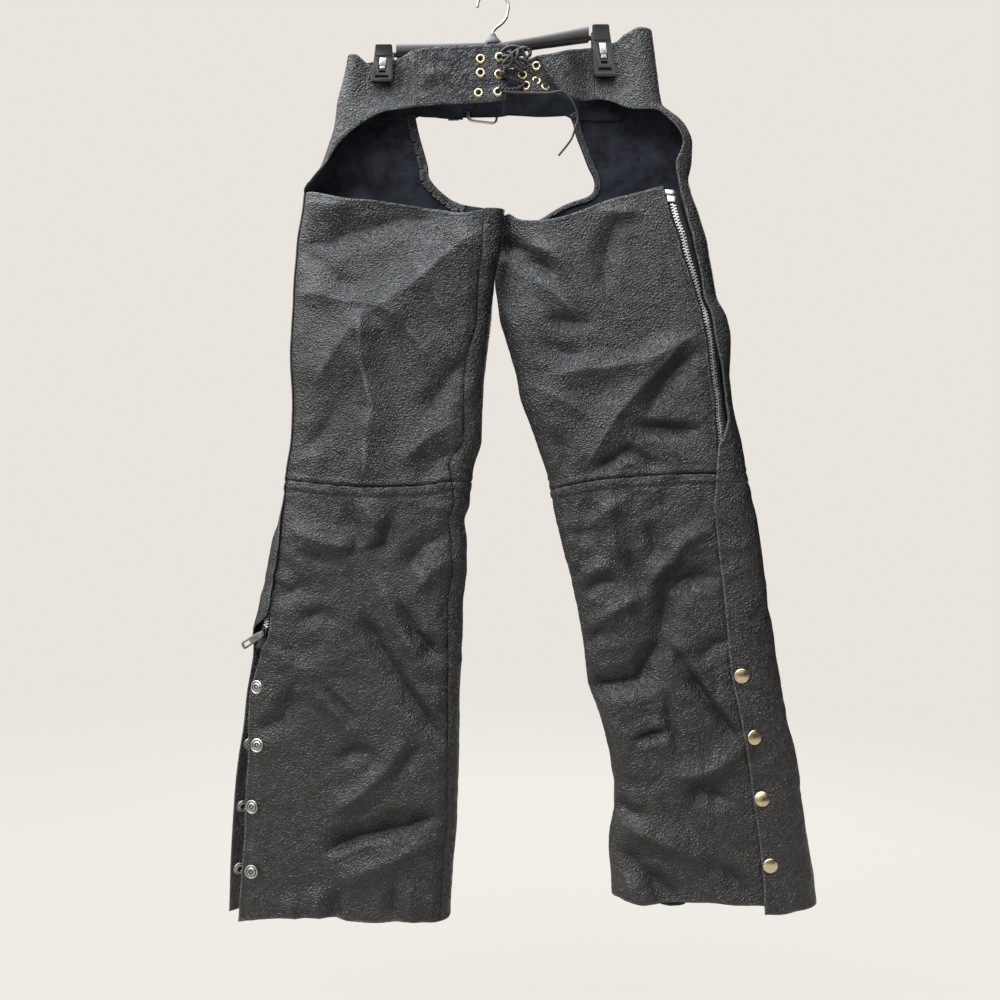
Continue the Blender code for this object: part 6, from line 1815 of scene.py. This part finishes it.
# floor, lights and sky
stageSet = {
    "floor": -1.75, "reach": 5.0, "fade": (2.4, 4.8), "paper": (0.25, 0.238, 0.222, 1),
    "backdrop": (0.815, 0.775, 0.723, 1),
    "toSky": (-0.36, -0.22, 0.86), "dim": 0.01, "bright": 11.5, "steep": 4.2, "fromDot": (-0.16, 0.98),
}
work = bmesh.new()
bmesh.ops.create_circle(
    work, cap_ends=True, segments=96, radius=stageSet["reach"],
    matrix=Matrix.Translation((0, 0, stageSet["floor"]))
)
mesh = bpy.data.meshes.new("floor")
work.to_mesh(mesh)
work.free()
floor = addObject("floor", mesh)
material, tree, shader = newMaterial("floorPaper", Roughness=0.9)
shader.inputs["Base Color"].default_value = stageSet["paper"]
ground = addNode(tree, "SeparateXYZ", {0: objectSpot(tree)})
flatSpot = addNode(tree, "CombineXYZ", {0: ground.outputs[0], 1: ground.outputs[1]})
away = addNode(tree, "VectorMath", {0: flatSpot.outputs[0]}, operation="LENGTH").outputs["Value"]
tree.links.new(spread(tree, away, 1.0, 0.0, *stageSet["fade"]), shader.inputs["Alpha"])
mesh.materials.append(material)


def addLight(name, place, aim, size, power, colour):
    light = bpy.data.lights.new(name, "AREA")
    light.shape = "SQUARE"
    light.size = size
    light.energy = power
    light.color = colour
    item = addObject(name, light)
    item.location = place
    item.rotation_euler = (Vector(aim) - Vector(place)).to_track_quat("-Z", "Y").to_euler()


addLight("window", (-1.3, -2.2, 1.0), (0, 0, -0.55), 1.6, 7, (0.86, 0.94, 1.0))
addLight("lamp", (1.25, -1.7, 0.9), (0.16, 0, -0.42), 0.9, 9, (0.88, 0.96, 1.0))
addLight("farSide", (0.8, 2.4, 0.8), (0, 0, -0.55), 1.8, 30, (1.0, 0.98, 0.95))

# the room: soft, bright above and to the left, dim below, and a plain pale backdrop
world = bpy.data.worlds.new("paleRoom")
bpy.context.scene.world = world
world.use_nodes = True
sky = world.node_tree
way = addNode(sky, "TexCoord").outputs["Generated"]
facingSky = addNode(
    sky, "VectorMath", {0: way, 1: stageSet["toSky"]}, operation="DOT_PRODUCT"
).outputs["Value"]
share = reckon(sky, "POWER", spread(sky, facingSky, 0.0, 1.0, *stageSet["fromDot"]), stageSet["steep"])
strengthUp = spread(sky, share, stageSet["dim"], stageSet["bright"])
tone = blendColours(sky, share, (1.0, 0.90, 0.80, 1), (0.80, 0.91, 1.0, 1))
roomLight = sky.nodes["Background"]
sky.links.new(tone, roomLight.inputs["Color"])
sky.links.new(strengthUp, roomLight.inputs["Strength"])
backdrop = addNode(sky, "Background", {"Color": stageSet["backdrop"], "Strength": 1.0})
seen = addNode(sky, "LightPath").outputs["Is Camera Ray"]
mixed = addNode(sky, "MixShader", {0: seen, 1: roomLight.outputs[0], 2: backdrop.outputs[0]})
sky.links.new(mixed.outputs[0], sky.nodes["World Output"].inputs["Surface"])
bpy.context.scene.view_settings.view_transform = "Standard"
print("stage made")
